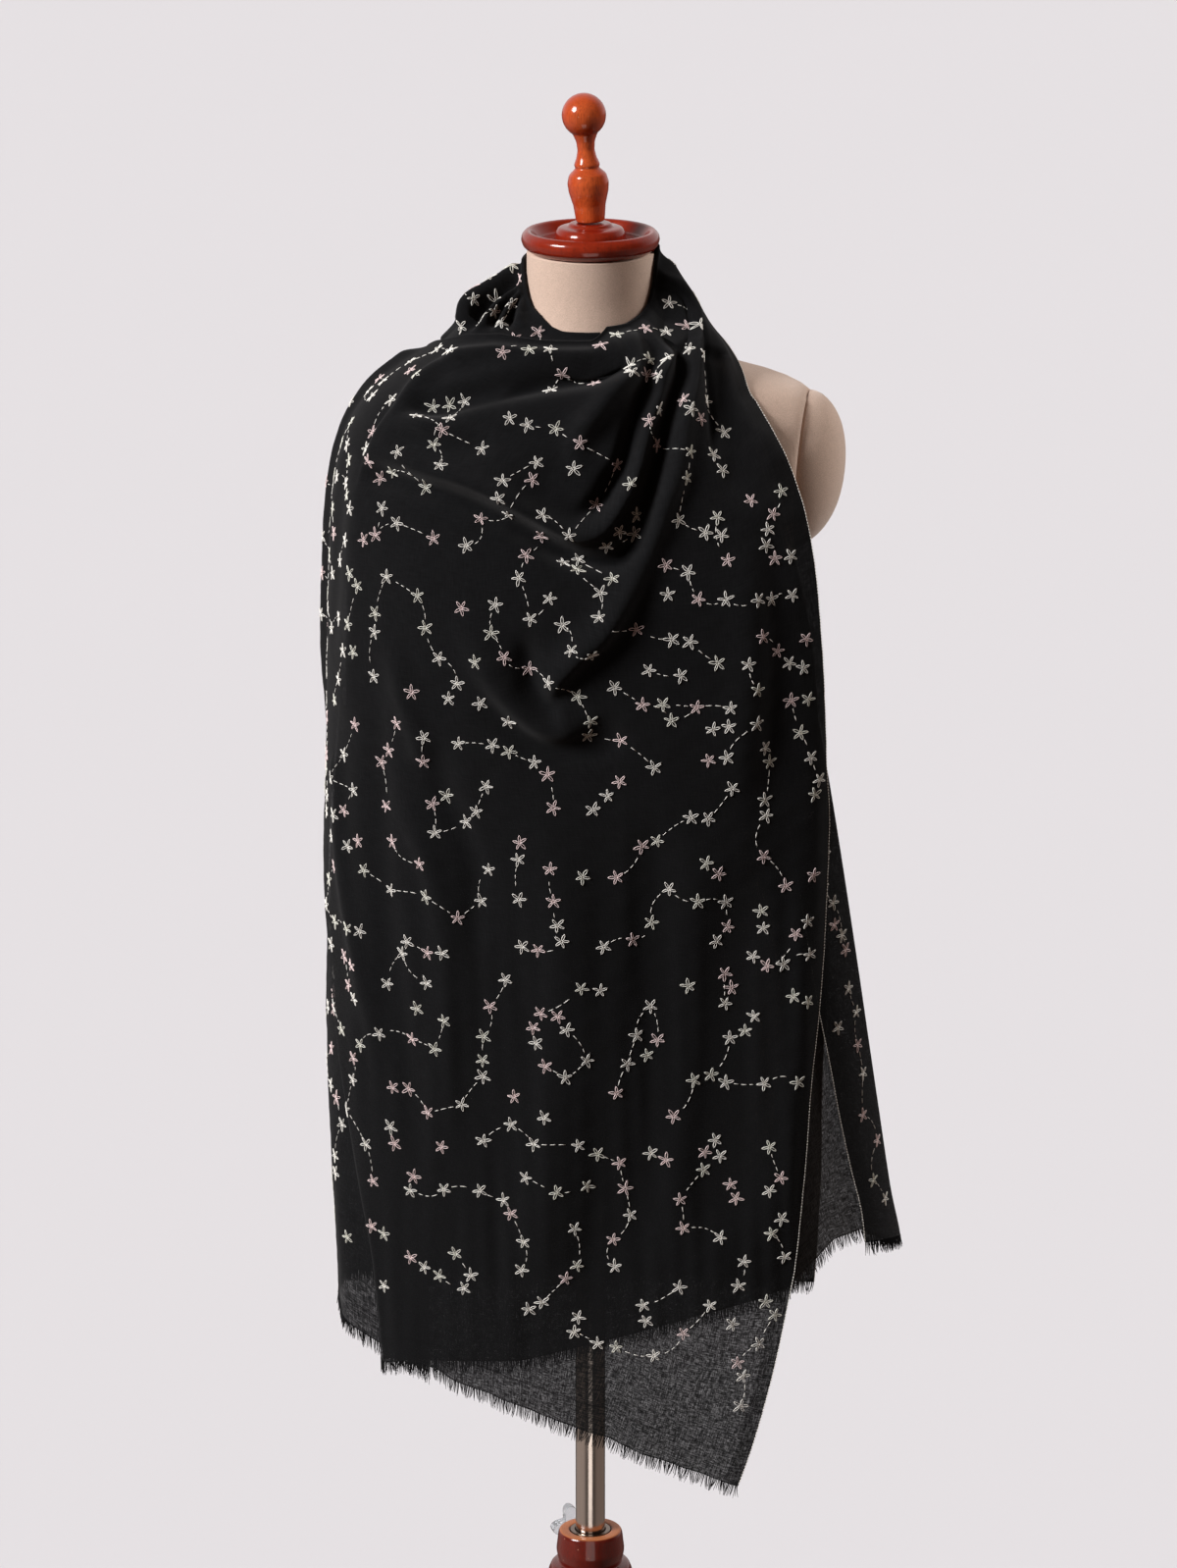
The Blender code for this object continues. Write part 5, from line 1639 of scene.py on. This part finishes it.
@dataclass
class StarEmbroidery:
    """Five-petalled stars in looped stitches, in wandering chains joined by running stitches.

    The chains are laid by chance from a fixed seed.

    Args:
        name: start of the pieces' names.
        cloth: the cloth to embroider.
        seed: fixes the layout.
        tries: how many chains are tried.
        spacing: least distance between stars of different chains.
        radius: a star's radius, smallest and largest.
        thread: half the thread's thickness.
        margin: least distance from an edge.
        hem_margin: least distance from the hem.
    """

    name: str
    cloth: ClothMap
    seed: int
    tries: int = 1600
    spacing: float = 22.0
    radius: tuple[float, float] = (6.0, 6.9)
    thread: float = 0.38
    margin: float = 9.0
    hem_margin: float = 64.0
    stars: list = field(default_factory=list)
    joins: list = field(default_factory=list)

    KINDS = rows(ChainKind, (6, 10, 1.3), (4, 6, 1.15), (2, 3, 1), (1, 1, 0.95))
    THINNER = 6.0  # what is added to the spacing towards the hem
    CLOSEST = 12.8  # least distance between stars of the same chain
    STITCH = (3.2, 5.4)
    STITCH_GAP = 2.3
    LEAST_STITCH = 2.5
    CLEAR = 6.9  # from a star's middle to the first stitch
    STRAY = 0.75  # how far, in radians, a chain's first step strays from the upright
    WANDER = 0.8  # and how far each later one strays from the one before
    SHORT_STEP = (13.0, 15.5)
    STEP = (20, 36)
    MOST_MISSES = 12
    THINNING = Band(1350, -800)
    SHADES = (0.55, 0.27, 0.18)  # each thread shade's share of the stars
    EYE = 0.55  # radius of a star's bare middle
    UNEVEN = (0.88, 1.08)  # of a petal's length
    SLENDER = (0.115, 0.16)  # half a petal's width as a share of its length
    SKEW = 0.09  # how far, in radians, a petal strays from its place

    def inside(self, i: float, j: float) -> bool:
        """Tells whether a star at a place is seen and clear of the edges.

        Args:
            i: place across, in columns.
            j: place down, in rows.

        Returns:
            Whether it can be laid there.
        """
        right = np.array([self.margin, -self.margin, 0.0, 0.0])
        down = np.array([0.0, 0.0, -self.margin, self.hem_margin])
        di, dj = self.cloth.steps(np.full(4, i), np.full(4, j), right, down)
        at = np.array([j + dj, i + di])
        if at.min() < 0 or (at.max(1) >= (self.cloth.rows - 1, self.cloth.columns - 1)).any():
            return False
        return bool(self.cloth.shown[tuple(at.astype(int))].all())

    def scatter(self) -> None:
        """Chooses where the chains go, the long ones first."""
        chance = np.random.default_rng(self.seed)
        cell = norm(np.cross(self.cloth.across, self.cloth.down), axis=-1) * self.cloth.shown
        odds = np.cumsum(cell.ravel()) / cell.sum()
        placed = np.full((1, 3), 1e6)
        for kind in self.KINDS:
            for _ in range(self.tries // len(self.KINDS)):
                row, column = divmod(int(np.searchsorted(odds, chance.uniform())), self.cloth.columns)
                placed = self.grow(chance, kind, placed, (column + 0.5, row + 0.5))
        density = len(self.stars) / cell.sum() * 1e6
        LOG.info("%s: %d stars, %.0f in a square metre", self.name, len(self.stars), density)

    def grow(
        self, chance: np.random.Generator, kind: ChainKind, placed: Array, start: tuple
    ) -> Array:
        """Lets one chain wander, now and then from a star it has already passed.

        Args:
            chance: source of its turns.
            kind: how long it is to be.
            placed: the stars of the other chains.
            start: its first star's place in the grid.

        Returns:
            All stars placed, with this chain's if it grew long enough.
        """
        places, spots, joins = [], [], []
        step = (start, None)
        heading = chance.choice((-1, 1)) * math.pi / 2 + chance.normal(0, self.STRAY)
        aim = int(chance.integers(kind.shortest, kind.longest + 1))
        misses = 0
        while len(places) < aim and misses < self.MOST_MISSES:
            if places:
                source = len(places) - 1 if chance.uniform() < 0.85 else int(chance.integers(len(places)))
                turned = heading + chance.normal(0, self.WANDER)
                reach = chance.uniform(*(self.SHORT_STEP if chance.uniform() < 0.25 else self.STEP))
                right, down = reach * math.cos(turned), reach * math.sin(turned)
                i, j = places[source]
                di, dj = self.cloth.steps(*map(np.array, (i, j, right, down)))
                bow = chance.normal(0, 0.1)
                step = ((i + float(di), j + float(dj)), Join(i, j, right, down, bow))
            (i, j), join = step
            if self.fits((i, j), kind, placed, spots):
                places.append((i, j))
                spots.append(self.cloth.point(i, j))
                if join:
                    joins.append(join)
                    heading = turned
            else:
                misses += 1
                if not places:
                    return placed
        if len(places) < kind.shortest:
            return placed
        self.stars += places
        self.joins += joins
        return np.concatenate([placed, np.array(spots)])

    def fits(self, place: tuple[float, float], kind: ChainKind, placed: Array, own: list) -> bool:
        """Tells whether a star can be laid at a place.

        Args:
            place: its place in the grid.
            kind: the kind of its chain.
            placed: the stars of the other chains.
            own: the stars of its own chain.

        Returns:
            Whether it is seen and far enough from the others.
        """
        if not self.inside(*place):
            return False
        spot = self.cloth.point(*place)
        lower = float(np.clip((spot[2] - self.THINNING.start) / self.THINNING.run, 0, 1))
        apart = kind.apart * (self.spacing + self.THINNER * lower)
        if norm(placed - spot, axis=1).min() < apart:
            return False
        return not own or norm(np.array(own) - spot, axis=1).min() >= self.CLOSEST

    def petals(self, places: Array, seed: int) -> tuple[Array, Array]:
        """Draws the loops of thread of many stars.

        Args:
            places: a place in the grid for each star.
            seed: fixes their unevenness.

        Returns:
            A path for each petal, and the cloth's normals along it.
        """
        chance = np.random.default_rng(seed)
        count = len(places)
        loop = np.linspace(0, 2 * math.pi, 11)[:-1]
        sine = np.sin(loop)
        radius = chance.uniform(*self.radius, (count, 1, 1)) * chance.uniform(*self.UNEVEN, (count, 5, 1))
        tilt = chance.uniform(0, 2 * math.pi, (count, 1, 1)) + np.radians(72) * np.arange(5)[None, :, None]
        tilt = tilt + chance.normal(0, self.SKEW, (count, 5, 1))
        out = self.EYE + (radius - self.EYE) * (1 - np.cos(loop)) / 2
        wide = radius * chance.uniform(*self.SLENDER, (count, 5, 1)) * sine * np.abs(sine) ** 0.5
        right = out * np.cos(tilt) - wide * np.sin(tilt)
        down = out * np.sin(tilt) + wide * np.cos(tilt)
        i, j = (np.broadcast_to(place[:, None, None], right.shape) for place in places.T)
        di, dj = self.cloth.steps(i, j, right, down)
        paths, normals = self.cloth.lay(i + di, j + dj, self.thread * 0.7)
        return paths.reshape(-1, len(loop), 3), normals.reshape(-1, len(loop), 3)

    def stitches(self) -> tuple[Array, Array]:
        """Draws the running stitches between joined stars.

        Returns:
            A path for each stitch, and the cloth's normals along it.
        """
        chance = np.random.default_rng(self.seed + 9)
        drawn = []
        for join in self.joins:
            apart = math.hypot(join.right, join.down)
            at, end = self.CLEAR, apart - self.CLEAR
            while end - at > self.LEAST_STITCH:
                length = min(chance.uniform(*self.STITCH), end - at)
                drawn.append((*join, at / apart, (at + length) / apart))
                at += length + self.STITCH_GAP
        i, j, right, down, bow, first, last = (c[:, None] for c in np.array(drawn).T)
        t = first + (last - first) * np.linspace(0, 1, 4)
        side = 4 * bow * t * (1 - t)
        i, j = np.broadcast_to(i, t.shape), np.broadcast_to(j, t.shape)
        di, dj = self.cloth.steps(i, j, right * t - down * side, down * t + right * side)
        return self.cloth.lay(i + di, j + dj, self.thread * 0.6)

    def build(self, finishes: dict) -> list[Object]:
        """Embroiders the cloth.

        Args:
            finishes: a material for each thread shade.

        Returns:
            A piece for each shade, and one of running stitches.
        """
        self.scatter()
        chance = np.random.default_rng(self.seed + 1)
        places = np.array(self.stars)
        shade = chance.choice(3, len(places), p=self.SHADES)
        made = []
        for number, colour in enumerate(ThreadShade):
            petals = self.petals(places[shade == number], self.seed + 2 + number)
            swept = tubes(*petals, self.thread, 3, True)
            made.append(mesh_object(f"{self.name}_{colour.name.lower()}", *swept, finishes[colour]))
        thick = self.thread * np.array([0.5, 0.82, 0.82, 0.5])
        swept = tubes(*self.stitches(), thick, 4, False)
        made.append(mesh_object(f"{self.name}_running_stitches", *swept, finishes[ThreadShade.IVORY]))
        return made


@dataclass
class Shawl:
    """The whole shawl: its cloth, embroidery, bound selvedges and fringes.

    Args:
        front: the outer layer in front.
        inner: the layer behind it.
        wrap: the rest.
    """

    front: FrontFall = field(default_factory=FrontFall)
    inner: InnerFall = field(default_factory=InnerFall)
    wrap: Wrap = field(default_factory=Wrap)

    BOUND_BELOW = 1412.0  # above this the front's selvedge is hidden in the gather

    def build(self) -> None:
        """Makes every piece of the shawl."""
        wool, wrong_side, single = WOOL.make(), WOOL_WRONG_SIDE.make(), WOOL_OVER_SHOULDER.make()
        threads = {
            shade: StrandedThread(f"stranded_cotton_{shade.name.lower()}", shade.value).make()
            for shade in ThreadShade
        }
        ivory, lip = threads[ThreadShade.IVORY], self.front.lip_rows
        front_grid = self.front.grid()
        front = self.front.sheet_object([front_grid], (), [wool])
        inner_grid, turned = self.inner.surface()
        inner = self.inner.sheet_object([inner_grid], (), [wool, wrong_side], turned)
        loop, fall, loop_seen, fall_seen = self.wrap.surface()
        first, last = self.wrap.front_columns, self.wrap.front_columns + self.wrap.columns
        wrap = self.wrap.sheet_object([loop, fall], range(first, last + 1), [single])

        corner = self.inner.columns + self.inner.turn_columns
        shown = np.ones(front_grid.shape[:2], bool)
        shown[:lip] = False
        flap_shown = np.zeros(inner_grid.shape[:2], bool)
        flap_shown[:, corner:] = True
        front_stars = StarEmbroidery("front_stars", ClothMap(front_grid, shown), 5).build(threads)
        flap = StarEmbroidery("flap_stars", ClothMap(inner_grid, flap_shown), 23, 200, hem_margin=30.0)
        flap_stars = flap.build(threads)
        seen = ClothMap(loop, loop_seen)
        neck = StarEmbroidery("neck_stars", seen, 41, spacing=17.0, margin=6.5, hem_margin=6.5)
        loop_stars = neck.build(threads)
        fall_stars = StarEmbroidery("back_stars", ClothMap(fall, fall_seen), 67).build(threads)

        # the selvedge goes up the front's right edge, on behind the neck and down the back's edge
        front_edge = front_grid[lip:, -1][front_grid[lip:, -1, 2] < self.BOUND_BELOW]
        wrap_edge = np.concatenate([fall[::-1, -1], loop[-1, last:]])
        front_beads = SelvedgeBeads("front_selvedge_beads").build(front_edge, ivory)
        flap_beads = SelvedgeBeads("flap_selvedge_beads").build(inner_grid[:, -1], ivory)
        wrap_beads = SelvedgeBeads("wrap_selvedge_beads").build(wrap_edge, ivory)

        hem, above = inner_grid[-1], inner_grid[-3]
        front_fringe = ThreadFringe("front_fringe_threads", 3).build(front_grid[-1], front_grid[-6], wool)
        inner_fringe = ThreadFringe("inner_fringe_threads", 7).build(hem[:corner], above[:corner], wrong_side)
        flap_fringe = ThreadFringe("flap_fringe_threads", 9).build(hem[corner:], above[corner:], wool)
        wrap_fringe = ThreadFringe("wrap_fringe_threads", 13).build(fall[-1], fall[-4], single)

        held = {
            front: [*front_stars, front_beads, front_fringe],
            inner: [*flap_stars, flap_beads, inner_fringe, flap_fringe],
            wrap: [*loop_stars, *fall_stars, wrap_beads, wrap_fringe],
        }
        for sheet, extras in held.items():
            for piece in (sheet, *extras):
                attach(piece, "figure")
        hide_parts("front_fall")
        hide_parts("inner_fall")
        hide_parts("shoulder_fall", "neck_loop")
        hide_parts("front_fringe")
        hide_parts("inner_fringe")
        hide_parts("flap_fringe")
        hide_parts("shoulder_fringe")
        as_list(held[front])
        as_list(held[inner])
        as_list(held[wrap])


# ---- dress form


def around(count: int) -> Array:
    """Lists even angles all the way round."""
    return 2 * math.pi * np.arange(count) / count


def ringed(rings: int, columns: int, inside_out: bool = False) -> list[tuple[int, ...]]:
    """Lists the faces of a body of rings, closed at both ends.

    Args:
        rings: number of rings.
        columns: points in each.
        inside_out: whether the rings' order would turn the faces inward.

    Returns:
        The corner numbers of each face.
    """
    first = tuple(range(columns))
    last = tuple((rings - 1) * columns + k for k in first)
    faces = grid_faces(rings, columns, 0, True)
    if inside_out:
        return [tuple(reversed(f)) for f in faces] + [first[::-1], last]
    return faces + [first, last[::-1]]


class Side(Enum):
    """A side of the form, with its sign along x."""

    LEFT = -1
    RIGHT = 1


@dataclass
class ArmCap:
    """The domed end that closes a shoulder, with a narrow piped edge.

    Args:
        node: the solid that it stands for.
        side: which shoulder.
        cut: distance of the shoulder's cut from the middle.
        yaw: how far the cut goes outward for each millimetre back.
        dome: how far the dome stands out.
    """

    node: str
    side: Side
    cut: float
    yaw: float
    dome: float

    HEIGHT = 1302.0
    LEAN = 0.06
    HALF_HEIGHT = 64.0
    HALF_DEPTH = 59.0
    MIDDLE_Y = -4.0
    POWER = 2.3
    SWELL = 0.6
    COLUMNS = 96
    PIPING = (0.97, 1.0, 0.995, 0.985)  # the piped edge, as shares of the cap's half height and depth
    TUCKED_IN, PROUD = -0.6, 0.3

    def plane(self, y: Array, z: Array) -> Array:
        """Finds the cut's distance from the middle."""
        return self.cut + self.LEAN * (z - self.HEIGHT) + self.yaw * y

    def build(self, finish: Material) -> Object:
        """Makes the dome.

        Args:
            finish: the velvet.

        Returns:
            The piece.
        """
        angle = around(self.COLUMNS)
        rings = []
        for share in (*self.PIPING, *np.sqrt(np.linspace(0.95, 0.0009, 22))):
            y = self.MIDDLE_Y + self.HALF_DEPTH * share * np.cos(angle) * self.side.value
            z = self.HEIGHT + self.HALF_HEIGHT * share * np.sin(angle)
            rise = self.dome * max(0.0, 1 - share**self.POWER) ** self.SWELL if rings else self.TUCKED_IN
            x = self.side.value * (self.plane(y, z) + self.PROUD + rise)
            rings.append(np.stack([x, y, z], axis=-1))
        faces = ringed(len(rings), self.COLUMNS)
        made = mesh_object(f"{self.node}_velvet", np.concatenate(rings), faces, finish)
        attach(made, "figure")
        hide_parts(self.node)
        return made


@dataclass
class DressForm:
    """The limbless velvet torso.

    Args:
        columns: cells round it.
        row_height: height of a row.
    """

    columns: int = 144
    row_height: float = 5.0
    caps: tuple = (
        ArmCap("left_arm_cap", Side.LEFT, 158, 0.04, 20),
        ArmCap("right_arm_cap", Side.RIGHT, 176, 0.15, 33),
    )

    SHOULDER_FOOT = 1150.0  # below this the body isn't cut
    ROUNDED_FOOT = 20.0  # height of the finer rows at the bottom edge

    def build(self) -> None:
        """Makes the torso and its arm caps."""
        velvet = VELVET.make()
        bottom, top = FORM[-1].z, FORM[0].z
        turns = 360 * np.arange(self.columns) / self.columns
        left, right = self.caps
        heights = [bottom]
        while heights[-1] + self.row_height < top:
            fine = heights[-1] < bottom + self.ROUNDED_FOOT
            heights.append(heights[-1] + (1.0 if fine else self.row_height))
        heights += [top - 0.4, top]
        rings = []
        for z in heights:
            ring = TORSO.section(turns, np.full(self.columns, z))
            if z > self.SHOULDER_FOOT:
                ring[:, 0] = np.clip(ring[:, 0], -left.plane(ring[:, 1], z), right.plane(ring[:, 1], z))
            rings.append(ring)
        faces = ringed(len(heights), self.columns, True)
        torso = mesh_object("torso_velvet", np.concatenate(rings), faces, velvet)
        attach(torso, "figure")
        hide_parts("form")
        for cap in self.caps:
            cap.build(velvet)


# ---- turned wood and metal


MOST_ROUNDED = 0.38  # share of a side that rounding may take up at either end


def rounded(profile: Sequence[tuple[float, float]], radius: float) -> Array:
    """Rounds the corners of a turned piece's profile.

    Args:
        profile: radius and height of its corners.
        radius: length that a corner loses on either side, at most.

    Returns:
        The points of the rounded profile.
    """
    corners = np.array(profile, float)
    out = [corners[0]]
    for before, here, after in zip(corners, corners[1:], corners[2:]):
        back, on = before - here, after - here
        a, b = (here + way * min(MOST_ROUNDED, radius / max(norm(way), 1e-6)) for way in (back, on))
        for t in (0, 0.25, 0.5, 0.75, 1):
            out.append(a * (1 - t) ** 2 + here * 2 * t * (1 - t) + b * t * t)
    return np.array([*out, corners[-1]])


@dataclass
class TurnedPiece:
    """A piece turned about the upright axis.

    Args:
        node: the solid that it stands for.
        body: the body that it rides on.
        profile: radius and height down its outer side.
        corner: rounding of its corners.
        steps: facets round it.
        lean: how far it leans to the left, in degrees, about its foot.
    """

    node: str
    body: str
    profile: tuple
    corner: float = 1.2
    steps: int = 96
    lean: float = 0.0

    def build(self, finish: Material, slot: str) -> Object:
        """Makes the piece.

        Args:
            finish: its material.
            slot: not used.

        Returns:
            The piece.
        """
        line = rounded(self.profile, self.corner)
        angle, radius, height = around(self.steps), line[:, :1], np.repeat(line[:, 1:], self.steps, axis=1)
        points = np.stack([radius * np.sin(angle), -radius * np.cos(angle), height], axis=-1)
        foot = [0, 0, min(z for _, z in self.profile)]
        if self.lean:
            turn = np.array(Matrix.Rotation(-math.radians(self.lean), 3, "Y"))
            points = (points - foot) @ turn.T + foot
        faces = grid_faces(len(line), self.steps, 0, True)
        made = mesh_object(f"{self.node}_turned", points.reshape(-1, 3), faces, finish)
        weld = made.modifiers.new("axis", "WELD")
        weld.merge_threshold = 0.00001
        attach(made, self.body)
        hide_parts(self.node)
        return made


BASE = TurnedPiece(
    "base", "stand",
    ((0, 62), (31, 62), (40, 50), (54, 42), (95, 35), (150, 30), (173, 26), (180, 16), (180, 0), (0, 0)),
    4.0, 144,
)
COLUMN = TurnedPiece(
    "column", "stand",
    ((0, 67), (13.6, 67), (13.6, 299.7), (17.7, 299.7), (17.7, 361), (26.2, 361), (27.6, 358.5), (29.4, 343),
     (27.6, 333), (27.2, 331.5), (33.5, 330), (36.5, 322.5), (33.5, 315), (27, 312), (22, 300), (20, 262),
     (27, 215), (29, 170), (23.5, 118), (22, 102), (31, 96), (34, 88), (31, 80), (24, 76), (29, 62.3),
     (0, 62.3)),
    2.2,
)
NECK_CAP = TurnedPiece(
    "neck_cap", "figure",
    ((0, 1505.2), (15, 1505.2), (17, 1504.6), (18.5, 1502.2), (24.5, 1501.6), (26.5, 1500.6), (28.6, 1497.2),
     (29.3, 1491), (43.5, 1490.5), (46.5, 1495), (49, 1498.8), (52.5, 1499.2), (55.8, 1495.5), (56.6, 1491.5),
     (55, 1486.5), (50.5, 1482.5), (46, 1481), (0, 1481)),
    1.6, 128,
)
BALL = tuple(
    (18 * math.cos(math.radians(a)) if a < 90 else 0.0, 1593.4 + 18 * math.sin(math.radians(a)))
    for a in range(90, -55, -8)
)
FINIAL = TurnedPiece(
    "finial", "figure",
    (*BALL, (9.8, 1577.5), (7.6, 1572), (6.9, 1565), (8.2, 1559), (10.6, 1553), (9.6, 1550.4), (11.4, 1548.6),
     (15.2, 1545), (16.9, 1538), (16.2, 1531), (13.2, 1520), (12.2, 1511), (11.5, 1506.2), (0, 1506.2)),
    1.6, 96, 3.5,
)
POLE = TurnedPiece(
    "pole", "mast",
    ((0, 692.7), (42, 692.7), (42, 686.7), (18, 684.7), (12.7, 674.7), (12.7, 171.5), (11.2, 170), (0, 170)),
    1.0,
)
SLEEVE = TurnedPiece(
    "sleeve", "stand", ((13.5, 300), (13.5, 361), (17.4, 361), (17.4, 300), (13.5, 300)), 0.4
)


@dataclass
class Stand:
    """The wooden stand, the steel pole and its clamp."""

    def build(self) -> None:
        """Makes the turned pieces and dresses the clamp."""
        dark, steel, acrylic = STAND_MAHOGANY.make(), STEEL.make(), ACRYLIC.make()
        cap, finial = CAP_MAHOGANY.make(), FINIAL_MAHOGANY.make()
        for piece, wood in ((BASE, dark), (COLUMN, dark), (NECK_CAP, cap), (FINIAL, finial)):
            piece.build(wood, "mahogany")
        for piece, metal in ((POLE, steel), (SLEEVE, DULL_STEEL.make())):
            piece.build(metal, "steel")
        for node, finish in (("clamp_screw", steel), ("clamp_knob", acrylic)):
            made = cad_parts[node]
            made.data.materials.clear()
            made.data.materials.append(finish)


# ---- studio


@dataclass
class Studio:
    """The camera, the pale floor and the soft light.

    Args:
        camera_at: the camera's place, in metres.
        look_down: how far it looks down, in degrees.
        lens: its focal length over a 36 mm frame.
    """

    camera_at: tuple[float, float, float] = (-0.0016, -4.89, 2.426)
    look_down: float = 15.93
    lens: float = 139.9

    FLOOR_SIDE = 120_000.0

    def build(self) -> None:
        """Makes the camera, the floor and the lights."""
        scene = bpy.context.scene
        scene.view_settings.view_transform = "Standard"
        lens = bpy.data.cameras.new("camera")
        lens.lens = self.lens
        lens.sensor_width, lens.clip_end = 36, 200
        camera = self.placed("camera", lens)
        camera.location = self.camera_at
        camera.rotation_euler = (math.radians(90 - self.look_down), 0, 0)
        scene.camera = camera

        half = self.FLOOR_SIDE / 2
        corners = np.array([(-half, -half, 0), (half, -half, 0), (half, half, 0), (-half, half, 0)])
        floor = mesh_object("floor", corners, [(0, 1, 2, 3)], FLOOR_PAINT.make())
        # the real floor is dim near the form and sends little light up under the folds
        floor.visible_diffuse = False
        floor.visible_glossy = False

        key = bpy.data.lights.new("key", "SUN")
        key.energy, key.angle = 4.7, math.radians(24)
        key.color = linear("fbfcff")[:3]
        self.placed("key", key, (0.76, 0.42, -0.50))

        # a soft rim light from behind the right shoulder
        rim = bpy.data.lights.new("rim", "SUN")
        rim.energy, rim.angle = 2.0, math.radians(30)
        self.placed("rim", rim, (-0.85, -0.3, -0.38)).visible_glossy = False

        # a tall narrow soft box in front, which draws the bright line down the pole
        box = bpy.data.lights.new("soft_box", "AREA")
        box.shape = "RECTANGLE"
        box.size, box.size_y, box.energy = 0.34, 1.0, 1.7
        box.color = linear("fff8f2")[:3]
        lamp = self.placed("soft_box", box, (0.0, 1.0, 0.0))
        lamp.location = (0.0, -0.65, 0.52)
        lamp.visible_camera = False
        lamp.visible_diffuse = False

        # the far side of the room is a bright backdrop, and the near side is dim
        world = bpy.data.worlds.new("studio")
        scene.world = world
        world.use_nodes = True
        world.node_tree.nodes.clear()
        add = partial(add_node, world.node_tree)
        place = add("TexCoord", {}).outputs["Generated"]
        right, back, up = add("SeparateXYZ", {"Vector": place}).outputs
        pale = linear("ebe9ea")
        far = add("MapRange", {0: back, 1: -0.1, 2: 0.8}, interpolation_type="SMOOTHSTEP")
        sky = add("Mix", {0: far, 6: linear("564740"), 7: pale})
        # looked at directly, it is plain and pale on every side
        rays = add("LightPath", {}).outputs
        seen = add("Mix", {0: rays["Is Camera Ray"], 6: sky, 7: pale})
        # what shines mirrors the floor, which is lighter on the left and in shade in front
        to_right = add("MapRange", {0: right, 1: -0.7, 2: 0.7})
        aside = add("Math", {0: right}, operation="ABSOLUTE")
        shade = add("MapRange", {0: aside, 1: 0.5, 2: 0.72, 3: 0.38, 4: 1.1})
        low = add("MapRange", {0: up, 1: -0.02, 2: -0.12})
        mirrored = add("Math", {0: low, 1: rays["Is Glossy Ray"]}, operation="MULTIPLY")
        ground = add("Mix", {0: to_right, 6: linear("a69b94"), 7: linear("7c7069")})
        ground = add("VectorMath", {0: ground, "Scale": shade}, operation="SCALE")
        seen = add("Mix", {0: mirrored, 6: seen, 7: ground})
        add("OutputWorld", {"Surface": add("Background", {"Color": seen, "Strength": 1.0})})

    @staticmethod
    def placed(name: str, data: ID, towards: tuple | None = None) -> Object:
        """Puts a camera or a lamp in the scene.

        Args:
            name: its name.
            data: the camera's or lamp's own data.
            towards: the direction in which it points, if that is to be set.

        Returns:
            The new object.
        """
        made = bpy.data.objects.new(name, data)
        if towards:
            made.rotation_euler = Vector(towards).to_track_quat("-Z", "Y").to_euler()
        bpy.context.scene.collection.objects.link(made)
        return made


def main() -> None:
    """Builds the shawl, the form, the stand and the studio in order."""
    logging.basicConfig(level=logging.INFO, format="%(message)s")
    Studio().build()
    LOG.info("studio built")
    DressForm().build()
    Stand().build()
    Shawl().build()
    LOG.info("shawl built")
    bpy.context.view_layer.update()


if __name__ == "__main__":
    main()
